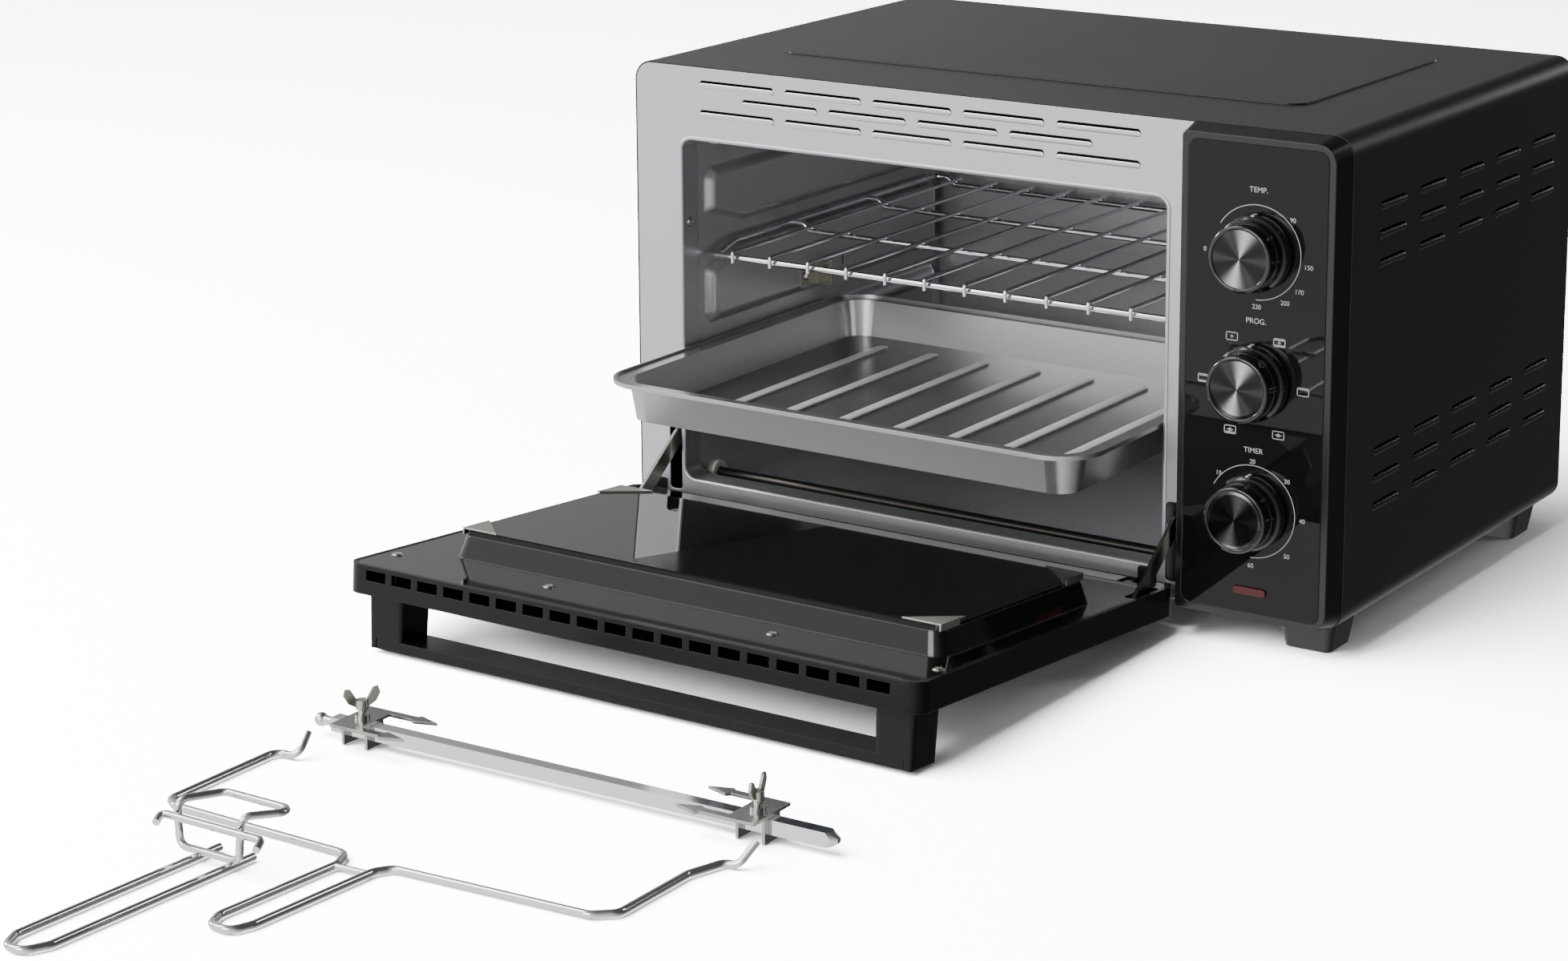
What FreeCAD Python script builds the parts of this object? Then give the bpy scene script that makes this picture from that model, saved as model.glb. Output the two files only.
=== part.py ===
import FreeCAD, Part
import math
import os

# Bench-top rotisserie oven, millimetres.
# Working frame: x = 0 at the middle of the cabinet, y = 0 at the front plate,
# +Y towards the back, z = 0 on the table. finish() then moves every piece so
# that the origin lies under the middle of everything that is on the table.

V = FreeCAD.Vector
X, Y, Z = V(1, 0, 0), V(0, 1, 0), V(0, 0, 1)

# ---------------------------------------------------------------- cabinet
CAB_W = 480.0          # width over the shell
CAB_D = 308.0          # depth of the shell
FOOT_H = 17.0          # feet lift the shell off the table
CAB_TOP = 296.0        # height of the shell's top above the table
SHELL_T = 1.0          # shell sheet
SHELL_BEND = 12.0      # bend along the four long edges
SHELL_LIP = 25.0       # return under each side
SHEET = 1.0            # all other sheet steel
SEAT_GAP = 0.1         # gap between pieces screwed together

# ---------------------------------------------------------------- oven chamber
OPEN_L = 34.5          # left edge of the opening from the shell's left side
OPEN_R = 113.0         # right edge of the opening from the shell's right side
OPEN_Z0 = 36.3
OPEN_Z1 = 250.0
OPEN_RAD = 7.0
FLANGE_D = 15.5        # flange turned in round the opening
FLANGE_SCREW = (7.5, 197.0)
CH_Z0 = 22.0           # chamber floor
CH_Z1 = 262.0          # chamber roof
CH_BACK = 9.0          # chamber back to the shell's back edge
RIDGE_D = 5.5          # pressed ridges stand in this far
RIDGE_Y0 = 22.0
RIDGE_BACK = 11.0      # end of the ridges to the chamber back
TRAY_SHELF = (104.0, 117.0)
MID_RIDGE = (130.0, 176.0)
TOP_RIDGE = (189.0, 228.0)
RIDGE_CUT = 6.0        # corners cut off the pressed ridges
LEAD_IN = (38.0, 11.0) # ridges give way to the rack at the front

# ---------------------------------------------------------------- heaters
HEAT_R = 3.3
HEAT_TOP_Z = 249.0
HEAT_LOW_Z = 32.0
HEAT_FRONT_Y = 34.0
HEAT_BACK = 49.0       # rear heaters to the chamber back
HEAT_FIT = 0.3

# ---------------------------------------------------------------- louvres
FRONT_SLOT = (54.0, 4.6)
FRONT_PITCH = 61.9
FRONT_SLOT_X = 48.1    # first louvre from the shell's left side
FRONT_ROWS = (285.0, 276.0, 267.0)
SIDE_SLOT = (33.0, 5.0)
SIDE_SLOT_N = 5
SIDE_SLOT_Y = 35.0
SIDE_SLOT_BACK = 28.8
SIDE_ROWS = (252.0, 236.0, 219.5, 112.5, 96.7, 80.5)

# ---------------------------------------------------------------- controls
BEZEL_W = 98.0         # bezel from the shell's right side
BEZEL_T = 13.0
BEZEL_TAPER = 4.0
BEZEL_WALL = 2.5
FASCIA_T = 1.3
FASCIA_IN = 4.0
KNOB_X = 50.5          # knob axis from the shell's right side
KNOB_Z = (229.0, 156.0, 82.0)
KNOB_R = 18.8
SKIRT_OVER = 2.7       # skirt stands out past the grip
DISC_IN = 2.5          # disc inside the grip's rim
KNOB_FRONT = 35.0      # knob face stands this far off the front plate
KNOB_GAP = 1.2
SHAFT_R = 3.0
SHAFT_FIT = 0.05
LAMP = (20.3, 4.5)
LAMP_Z = 35.8

# ---------------------------------------------------------------- door
DOOR_SIDE = 1.0        # door to the shell's left side
DOOR_BEZEL = 1.5       # door to the bezel
DOOR_TOP = 2.5         # door top below the shell's top
DOOR_T = 17.0
DOOR_GAP = 1.0         # closed door to front plate
DOOR_RAD = 10.0
DOOR_WALL = 2.5
DOOR_OPEN = 85.5       # angle at rest, degrees
PIVOT_IN = 0.1         # pivot off the middle of the door's thickness
PIVOT_UP = 3.9         # pivot above the door's lower edge
PLUG_H = 13.0          # raised middle of the inner panel
PLUG_SLOPE = 4.0
PLUG_SIDE = 3.0        # plug to the sides of the opening
PLUG_LOW = 84.0
PLUG_TOP_GAP = 5.0
GLASS_T = 3.0
VENT = (14.0, 6.0)
VENT_PITCH = 18.5
VENT_X = 15.0          # first vent from the door's left edge
HANDLE_OUT = 30.8
HANDLE_H = 26.0
HANDLE_BAR_T = 6.0
HANDLE_POST_W = 24.5
HANDLE_TOP = 3.5       # top of the handle from the door's top edge
HANDLE_CHEEK = 5.5     # post left standing outside each end of the bar
PIN_R = 2.5
PIN_FIT = 0.05
ARM_T = 2.0
ARM_W = 10.0
ARM_L = 70.0
ARM_RISE = 37.0        # slope of the arm with the door open, degrees
ARM_PIN = (-6.0, 55.0)
ARM_PIN_R = 2.0
SPRING_TAB = (208.0, 57.0)

# ---------------------------------------------------------------- rack and tray
RACK_ROD = 2.5
RACK_WIRE = 1.5
RACK_CROSS = 2.0
WELD_SLIT = 0.03       # between the rack's welded runs
RACK_PITCH = 27.7
RACK_FIRST = 19.3      # first wire from the left rail
RACK_DROP = 4.5        # bars lie lower than the rails
TRAY_OUT = 113.0       # how far the tray is drawn out at rest
TRAY_SPACE = 24.0      # tray is this much shorter than the chamber
TRAY_RIM = 9.5
TRAY_DEEP = 24.0
TRAY_T = 1.0
TRAY_RAD = 18.0
RIB_N = 7

# ---------------------------------------------------------------- spit and tools
SPIT_Y = 150.0         # spit axis in the chamber
SPIT_Z = 145.0
SPIT_END = 10.7        # spit is this much shorter than the chamber's width
SPIT_SQ = 7.6
SPIT_FIT = 0.1
SPIT_AT = (0.3, -391.6, 8.3)
SPIT_TURN = 1.376
FORK_L = 47.0
FORK_HALF = 14.0
FORK_T = 1.6
FORK_SADDLE = 17.0
FORK_X = (23.0, 38.0)  # saddles from the left and right ends of the spit
TOOL_R = 2.0

# ---------------------------------------------------------------- places
HALF = CAB_W / 2
OX0 = -HALF + OPEN_L
OX1 = HALF - OPEN_R
WALL_L = OX0 - SHEET - SEAT_GAP
WALL_R = OX1 + SHEET + SEAT_GAP
CH_D = CAB_D - CH_BACK
RIDGE_Y1 = CH_D - RIDGE_BACK
HEAT_REAR_Y = CH_D - HEAT_BACK
SIDE_PITCH = (CAB_D - SIDE_SLOT_Y - SIDE_SLOT_BACK - SIDE_SLOT[0]) / (SIDE_SLOT_N - 1)
BX0 = HALF - BEZEL_W
KX = HALF - KNOB_X
SKIRT_R = KNOB_R + SKIRT_OVER
DX0 = -HALF + DOOR_SIDE
DX1 = BX0 - DOOR_BEZEL
DOOR_W = DX1 - DX0
DOOR_Z0 = FOOT_H
DZ1 = CAB_TOP - DOOR_TOP
DY0 = -DOOR_GAP - DOOR_T
DY1 = -DOOR_GAP
PIVOT_Y = (DY0 + DY1) / 2 + PIVOT_IN
PIVOT_Z = DOOR_Z0 + PIVOT_UP
TRAY_L = CH_D - TRAY_SPACE
SPIT_L = WALL_R - WALL_L - SPIT_END

nodes = {}


# ---------------------------------------------------------------- helpers
def box(x0, x1, y0, y1, z0, z1):
    return Part.makeBox(x1 - x0, y1 - y0, z1 - z0, V(x0, y0, z0))


def cyl(at, axis, r, length):
    return Part.makeCylinder(r, length, V(*at), axis)


def tube(at, axis, r, bore, length):
    return cyl(at, axis, r, length).cut(cyl(at, axis, bore, length))


def loop2d(pts, radii):
    """Closed wire in the XY plane with each corner rounded."""
    n = len(pts)
    ends = []
    for i in range(n):
        p = V(pts[i][0], pts[i][1], 0)
        a = V(pts[i - 1][0], pts[i - 1][1], 0)
        b = V(pts[(i + 1) % n][0], pts[(i + 1) % n][1], 0)
        u = (a - p).normalize()
        w = (b - p).normalize()
        r = radii[i]
        half = u.getAngle(w) / 2
        if r < 0.01:
            ends.append((p, None, p))
            continue
        d = r / math.tan(half)
        m = (u + w).normalize()
        c = p + m * (r / math.sin(half))
        ends.append((p + u * d, c - m * r, p + w * d))
    edges = []
    for i in range(n):
        s, mid, e = ends[i]
        if mid is not None:
            edges.append(Part.Arc(s, mid, e).toShape())
        nxt = ends[(i + 1) % n][0]
        if e.distanceToPoint(nxt) > 1e-4:
            edges.append(Part.makeLine(e, nxt))
    return Part.Wire(edges)


def place(shape, plane, level):
    """Put XY-plane work on the wanted plane: xy at z, xz at y, yz at x."""
    if plane == "xy":
        shape.translate(V(0, 0, level))
        return shape
    m = FreeCAD.Matrix()
    if plane == "xz":
        m.A11, m.A12, m.A13 = 1, 0, 0
        m.A21, m.A22, m.A23 = 0, 0, -1
        m.A31, m.A32, m.A33 = 0, 1, 0
        off = V(0, level, 0)
    else:
        m.A11, m.A12, m.A13 = 0, 0, 1
        m.A21, m.A22, m.A23 = 1, 0, 0
        m.A31, m.A32, m.A33 = 0, 1, 0
        off = V(level, 0, 0)
    shape = shape.transformed(m)
    shape.translate(off)
    return shape


def prism(pts, radii, plane, a, b):
    """Extrude a rounded outline from level a to level b across its plane."""
    wire = place(loop2d(pts, radii), plane, a)
    step = {"xy": Z, "xz": Y, "yz": X}[plane]
    return Part.Face(wire).extrude(step * (b - a))


def rect(u0, u1, v0, v1):
    return [(u0, v0), (u1, v0), (u1, v1), (u0, v1)]


def plate(u0, u1, v0, v1, r, plane, a, b):
    return prism(rect(u0, u1, v0, v1), [r] * 4, plane, a, b)


def taper(low, high, plane, a, b, r0, r1):
    """Solid between two rounded rectangles (u0, u1, v0, v1)."""
    w0 = place(loop2d(rect(*low), [r0] * 4), plane, a)
    w1 = place(loop2d(rect(*high), [r1] * 4), plane, b)
    return Part.makeLoft([w0, w1], True, True)


def rod(pts, r, bend):
    """Round wire through the points, straight runs joined by arcs."""
    p = [V(*q) for q in pts]
    edges = []
    at = p[0]
    for i in range(1, len(p) - 1):
        u = (p[i - 1] - p[i]).normalize()
        w = (p[i + 1] - p[i]).normalize()
        half = u.getAngle(w) / 2
        d = min(bend / math.tan(half),
                0.45 * (p[i - 1] - p[i]).Length,
                0.45 * (p[i + 1] - p[i]).Length)
        rr = d * math.tan(half)
        m = (u + w).normalize()
        c = p[i] + m * (rr / math.sin(half))
        edges.append(Part.makeLine(at, p[i] + u * d))
        edges.append(Part.Arc(p[i] + u * d, c - m * rr, p[i] + w * d).toShape())
        at = p[i] + w * d
    edges.append(Part.makeLine(at, p[-1]))
    ring = Part.Wire(Part.makeCircle(r, p[0], (p[1] - p[0])))
    return Part.Wire(edges).makePipeShell([ring], True, False)


def slot_cutter(u0, v, length, height, plane, a, b):
    r = height / 2 - 0.05
    return plate(u0, u0 + length, v - height / 2, v + height / 2, r, plane, a, b)


def fused(shapes):
    out = shapes[0].multiFuse(shapes[1:]) if len(shapes) > 1 else shapes[0]
    return out.removeSplitter()


def screw(at, axis, head_r, head_h, stem_r, stem_l):
    """Pan-head screw: the head stands on the seat, the stem goes into it."""
    a = V(*at)
    head = Part.makeCone(head_r, head_r * 0.72, head_h, a, axis)
    stem = Part.makeCylinder(stem_r, stem_l, a, axis * -1)
    s = head.fuse(stem)
    side = axis.cross(X) if abs(axis.dot(X)) < 0.9 else axis.cross(Y)
    up = axis.cross(side)
    for d, e in ((side, up), (up, side)):
        k = Part.makeBox(head_r * 1.1, head_r * 0.22, head_h)
        k.translate(V(-head_r * 0.55, -head_r * 0.11, 0))
        m = FreeCAD.Matrix(d.x, e.x, axis.x, 0, d.y, e.y, axis.y, 0,
                           d.z, e.z, axis.z, 0, 0, 0, 0, 1)
        k = k.transformed(m)
        k.translate(a + axis * (head_h * 0.55))
        s = s.cut(k)
    return s


def add(name, shape):
    nodes[name] = shape


# ---------------------------------------------------------------- cabinet
def cabinet():
    outer = plate(-HALF, HALF, FOOT_H, CAB_TOP, SHELL_BEND, "xz", 0, CAB_D)
    t = SHELL_T
    inner = plate(-HALF + t, HALF - t, FOOT_H + t, CAB_TOP - t,
                  SHELL_BEND - t, "xz", -1, CAB_D + 1)
    shell = outer.cut(inner)
    lip = HALF - SHELL_LIP
    shell = shell.cut(box(-lip, lip, -1, CAB_D + 1, FOOT_H - 1, FOOT_H + 5))
    # raised panel pressed in the top
    raise_h = 0.8
    ex0, ex1, ey0, ey1 = -182.6, 175.5, 68.0, CAB_D - 48
    pad = plate(ex0, ex1, ey0, ey1, 14, "xy", CAB_TOP - 0.3, CAB_TOP + raise_h)
    under = plate(ex0 + t, ex1 - t, ey0 + t, ey1 - t, 13, "xy",
                  CAB_TOP - t - 1, CAB_TOP - t + raise_h)
    shell = shell.fuse(pad).cut(under)
    cuts = []
    for z in SIDE_ROWS:
        for k in range(SIDE_SLOT_N):
            y = SIDE_SLOT_Y + k * SIDE_PITCH
            c = slot_cutter(y, z, SIDE_SLOT[0], SIDE_SLOT[1], "yz", HALF - 5, HALF + 5)
            cuts.append(c)
            d = c.copy()
            d.translate(V(-CAB_W, 0, 0))
            cuts.append(d)
    add("outer_shell", shell.cut(Part.makeCompound(cuts)))

    g = SHELL_T + SEAT_GAP
    fx = HALF - g
    fz0, fz1 = FOOT_H + g, CAB_TOP - g
    fr = SHELL_BEND - g
    front = plate(-fx, fx, fz0, fz1, fr, "xz", 0, SHEET)
    fl = plate(OX0 - SHEET, OX1 + SHEET, OPEN_Z0 - SHEET, OPEN_Z1 + SHEET,
               OPEN_RAD + SHEET, "xz", 0, FLANGE_D)
    hole = plate(OX0, OX1, OPEN_Z0, OPEN_Z1, OPEN_RAD, "xz", -1, FLANGE_D + 1)
    front = front.fuse(fl).cut(hole)
    cuts = []
    for row, z in enumerate(FRONT_ROWS):
        shift = FRONT_PITCH / 2 if row == 1 else 0
        for k in range(4 if row == 1 else 5):
            x = -HALF + FRONT_SLOT_X + shift + k * FRONT_PITCH
            cuts.append(slot_cutter(x, z, FRONT_SLOT[0], FRONT_SLOT[1], "xz", -2, 3))
    for x in arm_centres():
        cuts.append(plate(x - 4.6, x + 4.6, 28, 75, 2.5, "xz", -2, 3))
    for z in KNOB_Z:
        cuts.append(cyl((KX, -2, z), Y, 5.3, 6))
    cuts.append(cyl((OX0 - 3, FLANGE_SCREW[0], FLANGE_SCREW[1]), X, 1.6, 6))
    add("front_frame", front.cut(Part.makeCompound(cuts)))

    by = CAB_D - SHEET - 0.2
    back = plate(-fx, fx, fz0, fz1, fr, "xz", by, by + SHEET)
    cuts = []
    for row in range(6):
        for k in range(5):
            x = -170 + k * 62
            z = CAB_TOP - 60 - row * 12
            cuts.append(slot_cutter(x, z, 44, 4.6, "xz", by - 2, by + 3))
    cuts.append(cyl((KX, by - 2, 52), Y, 6.6, 6))
    for x, z in back_screws():
        cuts.append(cyl((x, by - 2, z), Y, 1.7, 6))
    add("back_panel", back.cut(Part.makeCompound(cuts)))

    bz = FOOT_H + SHELL_T + SEAT_GAP
    base = box(SHELL_BEND - HALF, HALF - SHELL_BEND, SHEET + SEAT_GAP, by - SEAT_GAP, bz, bz + SHEET)
    cuts = []
    for row in range(4):
        for k in range(4):
            cuts.append(slot_cutter(-150 + k * 70, 90 + row * 40, 44, 5, "xy",
                                    bz - 1, bz + 3))
    add("base_plate", base.cut(Part.makeCompound(cuts)))

    for name, y in (("feet_front", 23.5), ("feet_rear", CAB_D - 28.5)):
        feet = [taper((x - 14, x + 14, y - 14, y + 14), (x - 17, x + 17, y - 17, y + 17),
                      "xy", 0, FOOT_H, 4, 5) for x in (26 - HALF, HALF - 26)]
        add(name, Part.makeCompound(feet))


def arm_centres():
    return (OX0 - 7.5, OX1 + 7.0)


def back_screws():
    xs = (-HALF + 16, HALF - 16)
    return [(x, z) for x in xs for z in (FOOT_H + 16, CAB_TOP - 16)]


# ---------------------------------------------------------------- chamber
def ridge(xa, xb, band, inset):
    """Pressed ridge from xa to xb, its outline set in by inset."""
    y0, y1 = RIDGE_Y0 + inset, RIDGE_Y1 - inset
    z0, z1 = band[0] + inset, band[1] - inset
    c = RIDGE_CUT
    low = [(y0, z0 + c), (y0 + c, z0)]
    high = [(y0 + c, z1), (y0, z1 - c)]
    if band == TOP_RIDGE:
        low = [(y0, z0 + LEAD_IN[1]), (y0 + LEAD_IN[0], z0)]
    if band == MID_RIDGE:
        high = [(y0 + LEAD_IN[0], z1), (y0, z1 - LEAD_IN[1])]
    if band == TRAY_SHELF:
        low, high = [(y0, z0)], [(y0, z1)]
    pts = low + [(y1, z0), (y1, z1)] + high
    face = Part.Face(Part.makePolygon([V(xa, y, z) for y, z in pts + pts[:1]]))
    return face.extrude(V(xb - xa, 0, 0))


def wall(inner_x, side):
    """Side wall of the chamber; side is +1 where the chamber lies at +x."""
    a, b = sorted((inner_x, inner_x - side * SHEET))
    y0 = SHEET + SEAT_GAP
    sheet = box(a, b, y0, CH_D, CH_Z0, CH_Z1)
    for band in (TRAY_SHELF, MID_RIDGE, TOP_RIDGE):
        sheet = sheet.fuse(ridge(inner_x - side * SHEET, inner_x + side * RIDGE_D, band, 0))
        sheet = sheet.cut(ridge(inner_x - side * (SHEET + 1),
                                inner_x + side * (RIDGE_D - SHEET), band, SHEET))
    for y in (HEAT_FRONT_Y, HEAT_REAR_Y):
        for z in (HEAT_TOP_Z, HEAT_LOW_Z):
            sheet = sheet.cut(cyl((inner_x - 5, y, z), X, 5.3, 10))
    # tab that takes the rear end of the door spring
    s = inner_x - side * SHEET
    tab = sorted((s, s - side * 9))
    y, z = SPRING_TAB
    lug = box(tab[0], tab[1], y, y + 1.5, z - 9, z + 9)
    hx = arm_centres()[0 if side > 0 else 1]
    sheet = sheet.fuse(lug.cut(cyl((hx, y - 3, z), Y, 1.4, 8)))
    if side > 0:
        sheet = sheet.cut(cyl((inner_x - 3, SPIT_Y - 23, SPIT_Z - 4.5), X, 1.6, 12))
        sheet = sheet.cut(cyl((inner_x - 3, FLANGE_SCREW[0], FLANGE_SCREW[1]), X, 1.7, 6))
    return sheet


def chamber():
    add("cavity_left_wall", wall(WALL_L, 1))
    right = wall(WALL_R, -1)
    add("cavity_right_wall", right.cut(cyl((WALL_R - 8, SPIT_Y, SPIT_Z), X, 9, 12)))
    e = 0.05
    add("cavity_floor", box(WALL_L + e, WALL_R - e, SHEET + SEAT_GAP, CH_D - SHEET - e,
                            CH_Z0, CH_Z0 + SHEET))
    add("cavity_roof", box(WALL_L + e, WALL_R - e, SHEET + SEAT_GAP, CH_D - SHEET - e,
                           CH_Z1 - SHEET, CH_Z1))
    rear = box(WALL_L + e, WALL_R - e, CH_D - SHEET, CH_D, CH_Z0, CH_Z1)
    mid = (WALL_L + WALL_R) / 2
    ring = plate(mid - 130, mid + 130, 90, 225, 18, "xz", CH_D - SHEET - 3, CH_D - SHEET)
    dish = plate(mid - 129, mid + 129, 91, 224, 17, "xz", CH_D - 2 - SHEET, CH_D + 2)
    add("cavity_rear_wall", rear.fuse(ring).cut(dish))

    ends = []
    for tag, z in (("upper", HEAT_TOP_Z), ("lower", HEAT_LOW_Z)):
        pair = []
        for y in (HEAT_FRONT_Y, HEAT_REAR_Y):
            x0, x1 = WALL_L - 9, WALL_R + 9
            h = cyl((x0, y, z), X, HEAT_R, x1 - x0)
            pair.append(h.fuse(cyl((x0 - 9, y, z), X, 1.4, x1 - x0 + 18)))
            for x, s in ((WALL_L, 1), (WALL_R, -1)):
                q = x - s * (SHEET + 4)
                w = x + s * 3.0
                body = cyl((min(q, w), y, z), X, 5.0, abs(w - q))
                rim0 = min(x + s * 0.05, w)
                rim = cyl((rim0, y, z), X, 7.6, abs(w - x) - 0.05)
                b = body.fuse(rim).cut(cyl((x - 20, y, z), X, HEAT_R + HEAT_FIT, 40))
                ends.append(b)
        add(tag + "_heaters", Part.makeCompound(pair))
    add("heater_insulators", Part.makeCompound(ends))


# ---------------------------------------------------------------- controls
def outline(x0, x1, z0, z1, left, right):
    pts = rect(x0, x1, z0, z1)
    return loop2d(pts, [left, right, right, left])


def controls():
    x0, x1 = BX0, HALF - 0.4
    z0, z1 = FOOT_H + 0.2, CAB_TOP - 0.4
    t = BEZEL_TAPER
    face_y = -BEZEL_T
    back_y = -0.1
    w0 = place(outline(x0, x1, z0, z1, 3, SHELL_BEND), "xz", back_y)
    fx0, fx1, fz0, fz1 = x0 + 0.8, x1 - t, z0 + t * 0.45, z1 - t * 0.8
    w1 = place(outline(fx0, fx1, fz0, fz1, 3, SHELL_BEND - 1), "xz", face_y)
    body = Part.makeLoft([w0, w1], True, True)
    k = BEZEL_WALL
    i0 = place(outline(x0 + k, x1 - k, z0 + k, z1 - k, 1, SHELL_BEND - k), "xz", 0.5)
    i1 = place(outline(fx0 + k, fx1 - k, fz0 + k, fz1 - k, 1, SHELL_BEND - k - 1), "xz",
               face_y + k)
    body = body.cut(Part.makeLoft([i0, i1], True, True))
    f = FASCIA_IN
    px0, px1, pz0, pz1 = fx0 + f, fx1 - f, fz0 + f, fz1 - f
    seat = face_y + 1.2
    body = body.cut(plate(px0, px1, pz0, pz1, 6, "xz", face_y - 1, seat))
    e = 0.15
    fascia = plate(px0 + e, px1 - e, pz0 + e, pz1 - e, 6 - e, "xz",
                   seat - 0.05 - FASCIA_T, seat - 0.05)
    for z in KNOB_Z:
        body = body.cut(cyl((KX, -20, z), Y, 5.3, 20))
        fascia = fascia.cut(cyl((KX, -20, z), Y, 4.2, 20))
    lw, lh = LAMP
    win = plate(KX - lw / 2, KX + lw / 2, LAMP_Z - lh / 2, LAMP_Z + lh / 2, lh / 2 - 0.1,
                "xz", -20, -8)
    body = body.cut(win)
    fascia = fascia.cut(win)
    add("control_bezel", body)
    add("control_fascia", fascia)
    lens = plate(KX - lw / 2 + e, KX + lw / 2 - e, LAMP_Z - lh / 2 + e,
                 LAMP_Z + lh / 2 - e, lh / 2 - 0.3, "xz", face_y - 1.3, -9.0)
    rim_y = face_y + k + 0.1
    lens = lens.fuse(plate(KX - lw / 2 - 2, KX + lw / 2 + 2, LAMP_Z - lh / 2 - 2,
                           LAMP_Z + lh / 2 + 2, 2, "xz", rim_y, rim_y + 1.4))
    add("lamp_lens", lens)

    cases = (("thermostat_body", box(KX - 18, KX + 18, SHEET + 0.3, 24,
                                     KNOB_Z[0] - 16, KNOB_Z[0] + 16)),
             ("program_switch_body", box(KX - 20, KX + 20, SHEET + 0.3, 30,
                                         KNOB_Z[1] - 18, KNOB_Z[1] + 18)),
             ("timer_body", cyl((KX, SHEET + 0.3, KNOB_Z[2]), Y, 24, 30)))
    for (name, case), z in zip(cases, KNOB_Z):
        neck = cyl((KX, -3.5, z), Y, 5.0, 6)
        bore = cyl((KX, -5, z), Y, SHAFT_R + SHAFT_FIT, 17)
        add(name, case.fuse(neck).cut(bore))
    for name, z in zip(("temp", "program", "timer"), KNOB_Z):
        add("shaft_" + name, shaft(z))
        add("knob_" + name, knob(z))
        add("knob_disc_" + name, cyl((KX, -KNOB_FRONT + 0.25, z), Y, KNOB_R - DISC_IN, 0.7))


def shaft(z):
    y0 = -KNOB_FRONT + 6
    s = cyl((KX, y0, z), Y, SHAFT_R, 11 - y0)
    return s.cut(box(KX - 5, KX + 5, y0 - 1, -15, z + SHAFT_R - 1.2, z + 5))


def knob(z):
    back = -BEZEL_T + 1.2 - 0.05 - FASCIA_T - KNOB_GAP
    step = back - 5.0
    skirt = cyl((KX, step, z), Y, SKIRT_R, back - step)
    shoulder = Part.makeCone(SKIRT_R - 1.6, SKIRT_R, 1.6, V(KX, step - 1.6, z), Y)
    grip = Part.makeCone(KNOB_R, KNOB_R + 0.6, KNOB_FRONT + step, V(KX, -KNOB_FRONT, z), Y)
    body = fused([skirt, shoulder, grip])
    well = KNOB_R - DISC_IN + 0.2
    body = body.cut(cyl((KX, -KNOB_FRONT - 1, z), Y, well, 2.0))
    cup = cyl((KX, -KNOB_FRONT + 4, z), Y, well - 0.5, KNOB_FRONT)
    hub = cyl((KX, -KNOB_FRONT + 3.5, z), Y, 6.0, KNOB_FRONT + back - 4)
    body = body.cut(cup).fuse(hub)
    f = SHAFT_FIT
    hole = cyl((KX, -KNOB_FRONT + 6 - f, z), Y, SHAFT_R + f, 30)
    flat = box(KX - 5, KX + 5, -KNOB_FRONT - 1, -15, z + SHAFT_R - 1.2 + f, z + 5)
    body = body.cut(hole.cut(flat))
    mark = box(KX - 1.1, KX + 1.1, step - 1.2, back - 0.4, z + SKIRT_R - 1.5, z + SKIRT_R + 0.6)
    return body.fuse(mark)


# ---------------------------------------------------------------- drive and spit seat
def drive():
    x0 = WALL_R + SHEET + SEAT_GAP
    mount = plate(SPIT_Y - 27, SPIT_Y + 27, SPIT_Z - 27, SPIT_Z + 27, 5, "yz", x0, x0 + 1.5)
    case = cyl((x0 + 1.5, SPIT_Y, SPIT_Z), X, 24, 18)
    can = cyl((x0 + 19.5, SPIT_Y, SPIT_Z), X, 16, 14)
    bore = cyl((x0 - 1, SPIT_Y, SPIT_Z), X, 5.0 + 0.05, 15)
    add("rotisserie_motor", fused([mount, case, can]).cut(bore))
    s0 = WALL_R - 19
    socket = cyl((s0, SPIT_Y, SPIT_Z), X, 8.0, WALL_R - s0 + SHEET - 0.3)
    journal = cyl((WALL_R, SPIT_Y, SPIT_Z), X, 5.0, 13)
    h = (SPIT_SQ + 1.0) / 2
    hole = box(s0 - 1, s0 + 14, SPIT_Y - h, SPIT_Y + h, SPIT_Z - h, SPIT_Z + h)
    add("drive_socket", socket.fuse(journal).cut(hole))

    f = WALL_L + RIDGE_D + 0.05
    b = SHEET + 0.2
    foot = plate(SPIT_Y - 30, SPIT_Y - 11, SPIT_Z - 12, SPIT_Z + 3, 2, "yz", f, f + b)
    leg = box(f, f + 12, SPIT_Y - 10 - b, SPIT_Y - 10, SPIT_Z - 12, SPIT_Z + 3)
    nose = plate(SPIT_Y - 10 - b, SPIT_Y + 9, SPIT_Z - 12, SPIT_Z + 6, 2, "yz",
                 f + 12 - b, f + 12)
    notch = box(f + 5, f + 14, SPIT_Y - 3.6, SPIT_Y + 3.6, SPIT_Z, SPIT_Z + 9)
    seat = cyl((f + 5, SPIT_Y, SPIT_Z), X, 3.6, 9)
    leg = leg.fuse(box(f, f + b, SPIT_Y - 14, SPIT_Y - 10, SPIT_Z - 12, SPIT_Z + 3))
    br = fused([foot, leg, nose]).cut(notch).cut(seat)
    br = br.cut(cyl((f - 1, SPIT_Y - 23, SPIT_Z - 4.5), X, 1.6, 5))
    add("spit_support_bracket", br)


# ---------------------------------------------------------------- door, drawn shut
def door_turn(shape, angle=DOOR_OPEN):
    shape = shape.copy()
    shape.rotate(V(0, PIVOT_Y, PIVOT_Z), X, angle)
    return shape


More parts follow.
